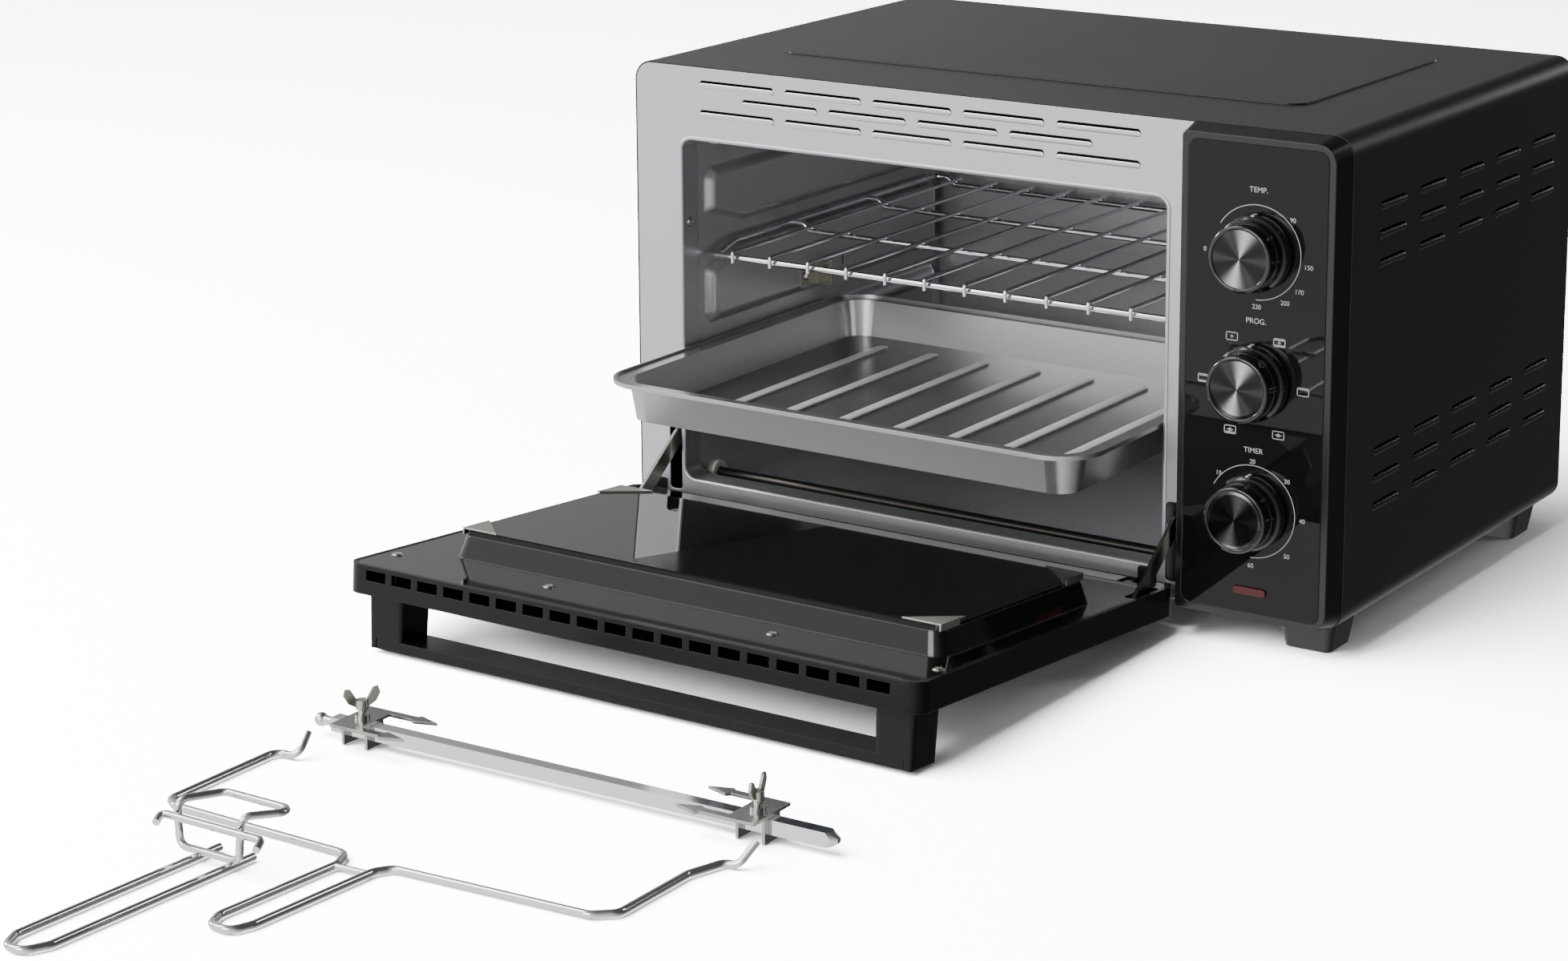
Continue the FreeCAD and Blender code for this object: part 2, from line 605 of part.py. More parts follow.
def door():
    r = DOOR_RAD
    w = DOOR_WALL
    frame = plate(DX0, DX1, DOOR_Z0, DZ1, r, "xz", DY0, DY1)
    floor_y = DY0 + 3.0
    hollow = plate(DX0 + w, DX1 - w, DOOR_Z0 + w, DZ1 - w, r - w, "xz", floor_y, DY1 + 1)
    frame = frame.cut(hollow)
    wx0, wx1, wz0, wz1 = DX0 + 48, DX1 - 32, DOOR_Z0 + 58, DZ1 - HANDLE_TOP - HANDLE_H - 24
    panel_y = DY1 - 0.2
    rib_y = panel_y - SHEET - SEAT_GAP
    rib = plate(wx0 - 3, wx1 + 3, wz0 - 3, wz1 + 3, 8, "xz", floor_y - 0.5, rib_y)
    frame = frame.fuse(rib)
    frame = frame.cut(plate(wx0, wx1, wz0, wz1, 6, "xz", DY0 - 1, DY1 + 2))
    # seat for the outer glass
    gx0, gx1, gz0, gz1 = wx0 - 12, wx1 + 12, wz0 - 12, wz1 + 12
    frame = frame.cut(plate(gx0, gx1, gz0, gz1, 8, "xz", DY0 - 1, DY0 + 1.6))
    e = 0.2
    add("door_outer_glass", door_turn(plate(gx0 + e, gx1 - e, gz0 + e, gz1 - e, 8 - e,
                                            "xz", DY0 - 1.4, DY0 + 1.55)))
    # vents along the top edge
    cuts = []
    vx = DX0 + VENT_X
    for k in range(int((DOOR_W - VENT_X) / VENT_PITCH)):
        cuts.append(box(vx + k * VENT_PITCH, vx + k * VENT_PITCH + VENT[0],
                        DY1 - 2.6 - VENT[1], DY1 - 2.6, DZ1 - w - 1, DZ1 + 1))
    frame = frame.cut(Part.makeCompound(cuts))
    # bosses for the panel screws
    screw_z = PIVOT_Z + 241
    screw_x = (DX0 + 11, DX0 + 119.5, DX1 - 111.3, DX1 - 8.3)
    low_z = DOOR_Z0 + 30
    spots = [(x, screw_z) for x in screw_x] + [(DX0 + 70, low_z), (DX1 - 70, low_z)]
    for x, z in spots:
        frame = frame.fuse(cyl((x, floor_y - 0.5, z), Y, 3.6, rib_y - floor_y + 0.5))
        frame = frame.cut(cyl((x, floor_y + 2, z), Y, 1.6, 20))
    # pivot blocks in the two lower corners and the arm pins above them
    pins = []
    for s, x in zip((-1, 1), tab_centres()):
        blk = box(x - 8, x + 8, DY0 + 1, rib_y, DOOR_Z0 + 0.5, DOOR_Z0 + 14)
        frame = frame.fuse(blk)
        frame = frame.cut(cyl((x - 8.5, PIVOT_Y, PIVOT_Z), X, PIN_R + PIN_FIT, 17))
        frame = frame.cut(box(x - 2.6, x + 2.6, PIVOT_Y - 5.2, DY1 + 1,
                              DOOR_Z0 - 1, PIVOT_Z + 5.2))
    for x in arm_centres():
        for s in (-1, 1):
            a, b = sorted((x + s * 2.0, x + s * 4.2))
            ear = box(a, b, floor_y - 0.5, rib_y, ARM_PIN[1] - 7, ARM_PIN[1] + 7)
            frame = frame.fuse(ear)
        y, z = ARM_PIN
        pins.append(cyl((x - 4.2, y, z), X, ARM_PIN_R, 8.4))
        frame = frame.cut(cyl((x - 4.4, y, z), X, ARM_PIN_R + 0.02, 8.8))
    edge = Part.makePolygon([V(DX0 - 1, DY1 + 0.01, DOOR_Z0 - 0.01),
                             V(DX0 - 1, DY1 - 2.0, DOOR_Z0 - 0.01),
                             V(DX0 - 1, DY1 + 0.01, DOOR_Z0 + 2.0),
                             V(DX0 - 1, DY1 + 0.01, DOOR_Z0 - 0.01)])
    frame = frame.cut(Part.Face(edge).extrude(V(DOOR_W + 2, 0, 0)))
    add("door_frame", door_turn(frame))
    add("arm_pins", door_turn(Part.makeCompound(pins)))

    # inner panel, pressed up in the middle
    c = w + 0.2
    pan = plate(DX0 + c, DX1 - c, DOOR_Z0 + c, DZ1 - c, r - c, "xz",
                panel_y - SHEET, panel_y)
    bx0, bx1 = OX0 + PLUG_SIDE, OX1 - PLUG_SIDE
    bz0, bz1 = PLUG_LOW, OPEN_Z1 - PLUG_TOP_GAP
    k = PLUG_SLOPE
    y1 = DY1 + PLUG_H
    plug = taper((bx0, bx1, bz0, bz1), (bx0 + k, bx1 - k, bz0 + k, bz1 - k), "xz",
                 panel_y - SHEET, y1, 9, 8)
    t = SHEET
    inside = taper((bx0 + t, bx1 - t, bz0 + t, bz1 - t),
                   (bx0 + k + t, bx1 - k - t, bz0 + k + t, bz1 - k - t), "xz",
                   panel_y - SHEET - 0.01, y1 - t, 8, 7)
    pan = pan.fuse(plug).cut(inside)
    gl = (bx0 + k + 1.5, bx1 - k - 1.5, bz0 + k + 4, bz1 - k - 1.5)
    m = 14.0
    pan = pan.cut(plate(gl[0] + m, gl[1] - m, gl[2] + m, gl[3] - m, 6, "xz", y1 - 3, y1 + 2))
    for x in arm_centres():
        pan = pan.cut(plate(x - 3.2, x + 3.2, 33, 64, 2, "xz", -6, 3))
    for x in tab_centres():
        pan = pan.cut(box(x - 8.5, x + 8.5, -8, 3, DOOR_Z0, DOOR_Z0 + 16))
    for x, z in spots:
        pan = pan.cut(cyl((x, -8, z), Y, 2.0, 10))
    add("door_inner_panel", door_turn(pan))
    g0 = y1 + 0.05
    add("door_inner_glass", door_turn(plate(gl[0], gl[1], gl[2], gl[3], 3, "xz",
                                            g0, g0 + GLASS_T)))
    # corner clips, each a bent triangle over the glass
    clips = []
    leg = 24.0
    gy = g0 + GLASS_T + 0.05
    for sx, cx in ((1, gl[0]), (-1, gl[1])):
        for sz, cz in ((1, gl[2]), (-1, gl[3])):
            o = 1.2
            px, pz = cx - sx * o, cz - sz * o
            tri = Part.makePolygon([V(px, gy, pz), V(px + sx * leg, gy, pz),
                                    V(px, gy, pz + sz * leg), V(px, gy, pz)])
            top = Part.Face(tri).extrude(V(0, 0.9, 0))
            a, b = sorted((px, px + sx * 1.0))
            lo, hi = sorted((pz, pz + sz * leg * 0.8))
            side = box(a, b, y1 + 0.02, gy + 0.5, lo, hi)
            clips.append(top.fuse(side))
    add("glass_clips", door_turn(Part.makeCompound(clips)))
    heads = [screw((x, panel_y + 0.02, z), Y, 3.5, 0.9, 1.5, 8) for x, z in spots]
    add("door_screws", door_turn(Part.makeCompound(heads)))

    # handle
    hz1 = DZ1 - HANDLE_TOP
    hz0 = hz1 - HANDLE_H
    out_y = DY0 - HANDLE_OUT
    lx = (DX0 + 14, DX1 - 4.5 - HANDLE_POST_W)
    bar_y = out_y + HANDLE_BAR_T
    ends = (lx[0] + HANDLE_CHEEK, lx[1] + HANDLE_POST_W - HANDLE_CHEEK)
    bar = plate(ends[0], ends[1], hz0 + 1, hz1 - 1, 1, "xz", out_y, bar_y)
    groove = plate(ends[0] + 3, ends[1] - 3, hz0 + 4, hz1 - 4, 3, "xz", out_y - 1,
                   out_y + 0.8)
    inlay = plate(ends[0] + 3.3, ends[1] - 3.3, hz0 + 4.3, hz1 - 4.3, 2.7, "xz",
                  out_y + 0.1, out_y + 0.75)
    add("handle_bar", door_turn(bar.cut(groove)))
    add("handle_inlay", door_turn(inlay))
    e = 0.05
    notch = box(ends[0] - e, ends[1] + e, out_y - 1, bar_y + e, hz0 - 1, hz1 + 1)
    posts = []
    for x in lx:
        post = taper((x + 1, x + HANDLE_POST_W - 1, hz0 + 1, hz1 - 1),
                     (x, x + HANDLE_POST_W, hz0, hz1), "xz", out_y, DY0 - 0.02, 2, 3)
        bolt = cyl((x + HANDLE_POST_W / 2, DY0 - 16, (hz0 + hz1) / 2), Y, 2.1, 20)
        posts.append(post.cut(notch).cut(bolt))
    add("handle_posts", door_turn(Part.makeCompound(posts)))


def tab_centres():
    return (DX0 + 13.0, DX1 - 22.5)


def door_hinges():
    brackets = []
    for x in tab_centres():
        eye = cyl((x - 1.2, PIVOT_Y, PIVOT_Z), X, 4.6, 2.4)
        neck = box(x - 1.2, x + 1.2, PIVOT_Y, -0.05, PIVOT_Z - 2.6, PIVOT_Z + 3.0)
        foot = plate(x - 6, x + 6, FOOT_H + 2.5, FOOT_H + 17, 1.5, "xz", -0.6, -0.05)
        pin = cyl((x - 7.6, PIVOT_Y, PIVOT_Z), X, PIN_R, 15.2)
        brackets.append(fused([eye, neck, foot, pin]))
    add("hinge_brackets", Part.makeCompound(brackets))
    turn = math.radians(DOOR_OPEN)
    dy, dz = ARM_PIN[0] - PIVOT_Y, ARM_PIN[1] - PIVOT_Z
    ay = PIVOT_Y + dy * math.cos(turn) - dz * math.sin(turn)
    az = PIVOT_Z + dy * math.sin(turn) + dz * math.cos(turn)
    up = math.radians(ARM_RISE)
    ey, ez = ay + ARM_L * math.cos(up), az + ARM_L * math.sin(up)
    for name, x in zip(("left", "right"), arm_centres()):
        strip = box(x - ARM_T / 2, x + ARM_T / 2, ay, ay + ARM_L, az - ARM_W / 2,
                    az + ARM_W / 2)
        strip = strip.fuse(cyl((x - ARM_T / 2, ay, az), X, ARM_W / 2, ARM_T))
        strip = strip.fuse(cyl((x - ARM_T / 2, ay + ARM_L, az), X, ARM_W / 2, ARM_T))
        strip = strip.cut(cyl((x - 3, ay, az), X, ARM_PIN_R + 0.05, 6))
        strip = strip.cut(cyl((x - 3, ay + ARM_L, az), X, 2.0, 6))
        strip.rotate(V(0, ay, az), X, ARM_RISE)
        add("hinge_arm_" + name, strip)
        add("hinge_spring_" + name, spring(x, (ey, ez), SPRING_TAB))


def spring(x, a, b):
    """Tension spring hooked through the arm's eye and the wall tab."""
    length = math.hypot(b[0] - a[0], b[1] - a[1])
    wire_r, coil_r, n = 0.8, 3.6, 22
    gap = 16.0
    coil = length - 2 * gap
    path = Part.makeHelix(coil / n, coil, coil_r)
    ring = Part.Wire(Part.makeCircle(wire_r, V(coil_r, 0, 0), Y))
    body = Part.Wire(path).makePipeShell([ring], True, True)
    side = ARM_T / 2 + wire_r + 0.3
    front = rod([(coil_r, 0, 0.2), (coil_r, 0, -3), (side, 0, -7), (side, 0, -gap),
                 (-side - 0.6, 0, -gap)], wire_r, 1.0)
    back = rod([(coil_r, 0, coil - 0.2), (coil_r, 0, coil + 3), (0, 0, coil + 7),
                (0, 0, coil + gap + 4)], wire_r, 1.5)
    s = body.fuse(front).fuse(back)
    s.translate(V(0, 0, gap))
    s.rotate(V(0, 0, 0), X, -90)
    s.rotate(V(0, 0, 0), X, math.degrees(math.atan2(b[1] - a[1], b[0] - a[0])))
    s.translate(V(x, a[0], a[1]))
    return s


# ---------------------------------------------------------------- rack and tray
def welded(shape, xs, ys):
    """Cut a wire frame into its straight runs and bends, a hair apart."""
    g = WELD_SLIT / 2
    out = []
    for xa, xb in zip(xs, xs[1:]):
        for ya, yb in zip(ys, ys[1:]):
            bit = shape.common(box(xa + g, xb - g, ya + g, yb - g, 0, CAB_TOP))
            out += [s for s in bit.Solids if s.Volume > 0.5]
    return out


def rack():
    zs = MID_RIDGE[1] + RACK_ROD + 0.2
    zf = zs - RACK_DROP
    x0, x1 = WALL_L + 4.5, WALL_R - 4.5
    y0, y1 = RIDGE_Y0 + 2, RIDGE_Y1 - 1
    ym = (y0 + y1) / 2
    front = rod([(x0, ym, zs), (x0, y0 + 26, zs), (x0, y0 + 10, zf), (x0, y0, zf),
                 (x1, y0, zf), (x1, y0 + 10, zf), (x1, y0 + 26, zs), (x1, ym, zs)],
                RACK_ROD, 6.0)
    parts = welded(front, (x0 - 9, x0 + 8, x1 - 8, x1 + 9), (y0 - 9, y0 + 34, ym))
    back = rod([(x0, ym, zs), (x0, y1, zs), (x0 + 10, y1, zs), (x0 + 15, y1, zf),
                (x1 - 15, y1, zf), (x1 - 10, y1, zs), (x1, y1, zs), (x1, ym, zs)],
               RACK_ROD, 6.0)
    xs = (x0 - 9, x0 + 20, x1 - 20, x1 + 9)
    parts += welded(back, xs, (ym, y1 - 9, y1 + 9))
    zw = zf + RACK_ROD + RACK_WIRE + WELD_SLIT
    for k in range(int((x1 - x0 - 2 * RACK_FIRST) / RACK_PITCH) + 1):
        x = x0 + RACK_FIRST + k * RACK_PITCH
        wire = rod([(x, y1 + 1.5, zw), (x, y0 - 4.2, zw), (x, y0 - 4.2, zw - 6.5)],
                   RACK_WIRE, 3.0)
        parts += welded(wire, (x - 3, x + 3), (y0 - 9, y0 - 1, y1 + 9))
    zc = zf + RACK_ROD - RACK_CROSS
    a = RACK_ROD + WELD_SLIT
    for y in (y0 + 88, y0 + 176):
        cross = rod([(x0 + a, y, zs), (x0 + 10, y, zs), (x0 + 15, y, zc),
                     (x1 - 15, y, zc), (x1 - 10, y, zs), (x1 - a, y, zs)],
                    RACK_CROSS, 5.0)
        parts += welded(cross, xs, (y - 4, y + 4))
    add("wire_rack", Part.makeCompound(parts))


def tray():
    t = TRAY_T
    z1 = TRAY_SHELF[1] + 0.3 + t + 0.2
    z0 = z1 - TRAY_DEEP
    x0, x1 = WALL_L + 2.8, WALL_R - 2.9
    y0 = RIDGE_Y0 - 3 - TRAY_OUT
    y1 = y0 + TRAY_L
    m = TRAY_RIM
    top = (x0 + m, x1 - m, y0 + m, y1 - m)
    s = 4.0
    low = (top[0] + s, top[1] - s, top[2] + s, top[3] - s)
    out = taper(low, top, "xy", z0, z1, TRAY_RAD - s, TRAY_RAD)
    lo_in = tuple(a + b for a, b in zip(low, (t, -t, t, -t)))
    to_in = tuple(a + b for a, b in zip(top, (t, -t, t, -t)))
    rim = plate(x0, x1, y0, y1, TRAY_RAD + m, "xy", z1 - t - 0.2, z1)
    bead = plate(x0, x1, y0, y1, TRAY_RAD + m, "xy", z1 - 0.1, z1 + 1.4)
    bead = bead.cut(plate(x0 + 1.6, x1 - 1.6, y0 + 1.6, y1 - 1.6, TRAY_RAD + m - 1.6,
                          "xy", z1 - 1, z1 + 3))
    body = fused([out, rim, bead])
    dish = Part.makeLoft([place(loop2d(rect(*lo_in), [TRAY_RAD - s - t] * 4), "xy", z0 + t),
                          place(loop2d(rect(*to_in), [TRAY_RAD - t] * 4), "xy", z1 + 0.001)],
                         True, True)
    body = body.cut(dish)
    ribs = []
    span = low[1] - low[0]
    for k in range(RIB_N):
        x = low[0] + span * (k + 1) / (RIB_N + 1)
        ribs.append(plate(x - 4, x + 4, low[2] + 22, low[3] - 22, 3.9, "xy",
                          z0 + t - 0.4, z0 + t + 1.2))
    add("baking_tray", fused([body] + ribs))


# ---------------------------------------------------------------- spit, forks, tools
def spit_place(shape):
    shape = shape.copy()
    shape.rotate(V(0, 0, 0), Z, SPIT_TURN)
    shape.translate(V(*SPIT_AT))
    return shape


def fork(x, s):
    """Fork saddle whose outer end is at x and whose prongs run towards s."""
    h = SPIT_SQ / 2 + SPIT_FIT
    t = FORK_T
    z0 = h + 0.5
    a, b = sorted((x, x + s * FORK_SADDLE))
    top = box(a, b, -FORK_HALF, FORK_HALF, z0, z0 + t)
    legs = [box(a, a + t, -7, 7, 0.1 - SPIT_AT[2], z0 + 0.2),
            box(b - t, b, -7, 7, 0.1 - SPIT_AT[2], z0 + 0.2)]
    nut = cyl((x + s * FORK_SADDLE / 2, 0, z0), Z, 4.0, t + 2.0)
    w = 2.4
    prongs = []
    for q in (-1, 1):
        y = q * FORK_HALF
        tip = x + s * FORK_L
        neck = x + s * (FORK_L - 15)
        pts = [(x, y - w), (neck, y - w), (neck + s * 2, y - w - 1.8), (tip, y),
               (neck + s * 2, y + w + 1.8), (neck, y + w), (x, y + w)]
        face = Part.Face(Part.makePolygon([V(p, r, z0) for p, r in pts + pts[:1]]))
        prongs.append(face.extrude(V(0, 0, t)))
    body = fused([top, nut] + legs + prongs)
    body = body.cut(box(a - 5, b + 5, -h, h, -h, h))
    return body.cut(cyl((x + s * FORK_SADDLE / 2, 0, 0), Z, 2.05, 14))


def wing_screw(x, s, turn):
    z0 = SPIT_SQ / 2 + 0.15
    zw = SPIT_SQ / 2 + SPIT_FIT + FORK_T + 5.5
    stem = cyl((0, 0, z0), Z, 2.0, zw + 1 - z0)
    head = cyl((0, 0, zw), Z, 3.4, 5.0)
    wings = []
    for q in (-1, 1):
        pts = [(q * 2.2, 0.4), (q * 7.5, 3.5), (q * 10.0, 8.0), (q * 9.0, 11.5),
               (q * 6.0, 11.0), (q * 3.6, 7.0), (q * 2.2, 5.0)]
        loop = [V(p, -0.8, zw + r) for p, r in pts + pts[:1]]
        wings.append(Part.Face(Part.makePolygon(loop)).extrude(V(0, 1.6, 0)))
    w = fused([stem, head] + wings)
    w.rotate(V(0, 0, 0), Z, turn)
    w.translate(V(x + s * FORK_SADDLE / 2, 0, 0))
    return w


def spit():
    h = SPIT_SQ / 2
    half = SPIT_L / 2
    bar = box(-half + 13, half, -h, h, -h, h)
    point = Part.makeCone(h * 1.42, 1.6, 6.0, V(half - 6, 0, 0), X)
    bar = bar.cut(box(half - 6, half + 1, -9, 9, -9, 9)).fuse(
        box(half - 6, half, -h, h, -h, h).common(point))
    neck = cyl((-half + 3, 0, 0), X, 2.6, 11)
    ball = Part.makeSphere(h, V(-half + h, 0, 0))
    add("spit_rod", spit_place(fused([bar, neck, ball])))
    for name, x, s, turn in (("left", FORK_X[0] - half, 1, 55),
                             ("right", half - FORK_X[1], -1, 100)):
        add("fork_" + name, spit_place(fork(x, s)))
        add("wing_screw_" + name, spit_place(wing_screw(x, s, turn)))


def tools():
    z = TOOL_R + 0.2
    # wire lifter with a cradle hook at each end and a loop handle
    pts = [(-142.4, -423.0, 13.0), (-141.4, -433.0, z), (-156.4, -432.5, z),
           (-155.5, -512.5, z), (-147.0, -517.5, z), (-34.5, -518.6, z),
           (-29.4, -531.3, z), (-34.8, -606.7, z), (-30.6, -617.6, z),
           (-18.2, -617.6, z), (-14.1, -606.7, z), (-9.0, -528.8, z),
           (-3.4, -520.5, z), (107.7, -513.2, z), (117.6, -504.3, z),
           (117.0, -449.7, z), (123.5, -428.5, z), (131.0, -427.7, z),
           (136.5, -419.5, 13.0)]
    wire = rod(pts, TOOL_R, 7.0)
    brace = cyl((-29.5, -533.0, z), V(20.4, 1.2, 0), TOOL_R * 0.8, 20.4)
    add("spit_lifter", fused([wire, brace]))
    # tray grip: long loop, upright frame, cross wire
    loop = rod([(-91.2, -545.0, z), (-97.0, -674.0, z), (-91.5, -685.5, z),
                (-81.0, -685.5, z), (-75.2, -674.0, z), (-69.4, -545.0, z)], TOOL_R, 7.0)
    zb = z + 2 * TOOL_R - 0.3
    up = rod([(-70.0, -538.5, 28.0), (-92.5, -538.5, 28.0), (-103.0, -561.0, 29.0),
              (-102.0, -561.0, zb), (-64.0, -561.0, zb), (-62.0, -561.0, 29.0),
              (-46.0, -538.5, 28.0), (-70.2, -538.5, 28.0)], TOOL_R, 5.0)
    yc = -561.0 - 2 * TOOL_R + 0.3
    cross = rod([(-107.0, yc - 7, 20.0), (-110.0, yc, 22.0), (-46.0, yc, 22.0),
                 (-43.0, yc - 7, 20.0)], TOOL_R, 3.0)
    add("tray_handle", fused([loop, up, cross]))


# ---------------------------------------------------------------- small fixings
def fixings():
    s = [screw((OX0 + 0.02, FLANGE_SCREW[0], FLANGE_SCREW[1]), X, 3.2, 1.2, 1.5, 6)]
    by = CAB_D - 0.2
    for x, z in back_screws():
        s.append(screw((x, by + 0.02, z), Y, 3.6, 2.0, 1.6, 6))
    f = WALL_L + RIDGE_D + SHEET + 0.3
    s.append(screw((f, SPIT_Y - 23, SPIT_Z - 4.5), X, 3.2, 1.8, 1.5, 4))
    add("cabinet_screws", Part.makeCompound(s))
    bush = tube((KX, by - 6, 52), Y, 6.4, 3.6, 12)
    bush = bush.fuse(tube((KX, by + 0.05, 52), Y, 9.5, 3.6, 3.5))
    bush = bush.fuse(tube((KX, by - SHEET - 2.1, 52), Y, 8.2, 3.6, 2.0))
    add("cord_bushing", bush)
    bz = FOOT_H + SHELL_T + 2 * SEAT_GAP + SHEET
    block = box(160, 210, 255, 275, bz, bz + 14)
    for k in range(4):
        block = block.cut(box(165 + k * 11, 172 + k * 11, 254, 262, bz + 4, bz + 15))
    add("terminal_block", block)


def finish():
    whole = None
    for s in nodes.values():
        b = s.optimalBoundingBox(False, False)
        if whole is None:
            whole = FreeCAD.BoundBox(b)
        else:
            whole.add(b)
    shift = V(-(whole.XMin + whole.XMax) / 2, -(whole.YMin + whole.YMax) / 2, -whole.ZMin)
    print("shift %.4f %.4f %.4f" % (shift.x, shift.y, shift.z))
    print("size %.2f %.2f %.2f" % (whole.XLength, whole.YLength, whole.ZLength))
    os.makedirs("parts", exist_ok=True)
    for name, s in nodes.items():
        s = s.copy()
        s.translate(shift)
        if not s.isValid():
            print("not valid:", name)
        s.exportStep("parts/%s.step" % name)
    print(len(nodes), "nodes")


cabinet()
chamber()
controls()
drive()
door()
door_hinges()
rack()
tray()
spit()
tools()
fixings()
finish()
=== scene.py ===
import math

import bmesh
import bpy
from bpy.props import FloatProperty, FloatVectorProperty, IntProperty, PointerProperty
from mathutils import Matrix, Vector


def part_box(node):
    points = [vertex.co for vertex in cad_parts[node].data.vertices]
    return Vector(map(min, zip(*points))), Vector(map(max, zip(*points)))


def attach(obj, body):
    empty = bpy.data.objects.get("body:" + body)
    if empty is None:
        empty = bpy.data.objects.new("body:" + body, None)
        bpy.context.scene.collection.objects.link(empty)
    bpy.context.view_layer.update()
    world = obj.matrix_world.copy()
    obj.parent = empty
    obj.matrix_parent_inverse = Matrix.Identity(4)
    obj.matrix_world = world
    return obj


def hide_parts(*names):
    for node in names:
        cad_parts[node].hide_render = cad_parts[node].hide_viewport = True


bl_info = {
    "name": "Rotisserie Oven Finish",
    "version": (1, 0, 0),
    "blender": (4, 5, 0),
    "location": "3D View > Sidebar > Oven",
    "description": "Finishes and detail pieces for a bench-top rotisserie oven",
    "category": "Object",
}

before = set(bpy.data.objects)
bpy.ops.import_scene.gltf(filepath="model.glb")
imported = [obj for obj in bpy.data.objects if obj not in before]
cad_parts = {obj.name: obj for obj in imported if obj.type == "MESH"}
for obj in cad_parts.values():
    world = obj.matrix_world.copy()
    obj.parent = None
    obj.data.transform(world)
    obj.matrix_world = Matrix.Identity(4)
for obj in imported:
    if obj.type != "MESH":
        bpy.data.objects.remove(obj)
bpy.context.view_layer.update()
MM = 0.001

CAB_LO, CAB_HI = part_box("outer_shell")
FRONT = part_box("front_frame")[0].y
MID_X = (CAB_LO.x + CAB_HI.x) / 2
TABLE_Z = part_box("feet_front")[0].z
DIALS = ("temp", "program", "timer")


# ---------------------------------------------------------------- settings
class OvenFinishSettings(bpy.types.PropertyGroup):
    """Colours and surface sizes of the oven's finishes"""
    shell_colour: FloatVectorProperty(
        name="Shell", description="Powder coat on the cabinet shell",
        subtype="COLOR", size=3, min=0, max=1, default=(0.0045, 0.0045, 0.0048))
    front_colour: FloatVectorProperty(
        name="Front plate", description="Silver paint on the front plate",
        subtype="COLOR", size=3, min=0, max=1, default=(0.46, 0.47, 0.49))
    chamber_colour: FloatVectorProperty(
        name="Chamber", description="Aluminised steel inside the oven",
        subtype="COLOR", size=3, min=0, max=1, default=(0.44, 0.45, 0.465))
    tray_colour: FloatVectorProperty(
        name="Tray", description="Satin steel of the baking tray",
        subtype="COLOR", size=3, min=0, max=1, default=(0.46, 0.46, 0.455))
    lamp_colour: FloatVectorProperty(
        name="Lamp", description="Red of the power lamp lens",
        subtype="COLOR", size=3, min=0, max=1, default=(0.06, 0.002, 0.004))
    edge_radius: FloatProperty(
        name="Edge radius", description="Softened edge on sheet and moulded pieces",
        default=0.0006, min=0, max=0.003, subtype="DISTANCE", unit="LENGTH", precision=5)


class OvenDetailSettings(bpy.types.PropertyGroup):
    """Sizes of the modelled details"""
    hood_rise: FloatProperty(
        name="Louvre rise", description="How far a pressed louvre hood stands out",
        default=0.0008, min=0.0002, max=0.003, subtype="DISTANCE", unit="LENGTH", precision=5)
    slit_gap: FloatProperty(
        name="Louvre slit", description="Open slit above each louvre hood",
        default=0.0014, min=0.0002, max=0.002, subtype="DISTANCE", unit="LENGTH", precision=5)
    ridge_softness: FloatProperty(
        name="Ridge softness", description="Width of the pressed slope on the chamber walls",
        default=0.0055, min=0.001, max=0.01, subtype="DISTANCE", unit="LENGTH", precision=4)
    dial_line: FloatProperty(
        name="Dial line", description="Width of the printed lines on the fascia",
        default=0.00042, min=0.0002, max=0.002, subtype="DISTANCE", unit="LENGTH", precision=5)
    curve_steps: IntProperty(
        name="Curve steps", description="Segments in a quarter of each round detail",
        default=8, min=3, max=24)


def finishes():
    return bpy.context.scene.oven_finish


def details():
    return bpy.context.scene.oven_detail


# ---------------------------------------------------------------- shader groups
# Sockets of a colour Mix node, which has the same socket names for each kind of data
MIX_FACTOR, MIX_A, MIX_B, MIX_RESULT = 0, 6, 7, 2


def new_group(name, inputs, outputs):
    """Start a group; inputs are (label, kind, value) and outputs are (label, kind)."""
    tree = bpy.data.node_groups.new(name, "ShaderNodeTree")
    for label, kind, value in inputs:
        socket = tree.interface.new_socket(label, in_out="INPUT", socket_type=kind)
        if value is not None:
            socket.default_value = value
    for label, kind in outputs:
        tree.interface.new_socket(label, in_out="OUTPUT", socket_type=kind)
    return tree, tree.nodes.new("NodeGroupInput"), tree.nodes.new("NodeGroupOutput")


def link(tree, a, b):
    tree.links.new(a, b)


def set_sockets(node, **values):
    """Set a node's own sockets by name, with _ for a space."""
    for label, value in values.items():
        node.inputs[label.replace("_", " ")].default_value = value


def add_node(tree, kind, **values):
    node = tree.nodes.new("ShaderNode" + kind)
    set_sockets(node, **values)
    return node


def vector_maths(tree, operation):
    node = tree.nodes.new("ShaderNodeVectorMath")
    node.operation = operation
    return node


def maths(tree, operation, *values):
    """Add a Math node; each value is a number or an output to link."""
    node = tree.nodes.new("ShaderNodeMath")
    node.operation = operation
    for socket, value in zip(node.inputs, values):
        if isinstance(value, (int, float)):
            socket.default_value = value
        else:
            link(tree, value, socket)
    return node.outputs["Value"]


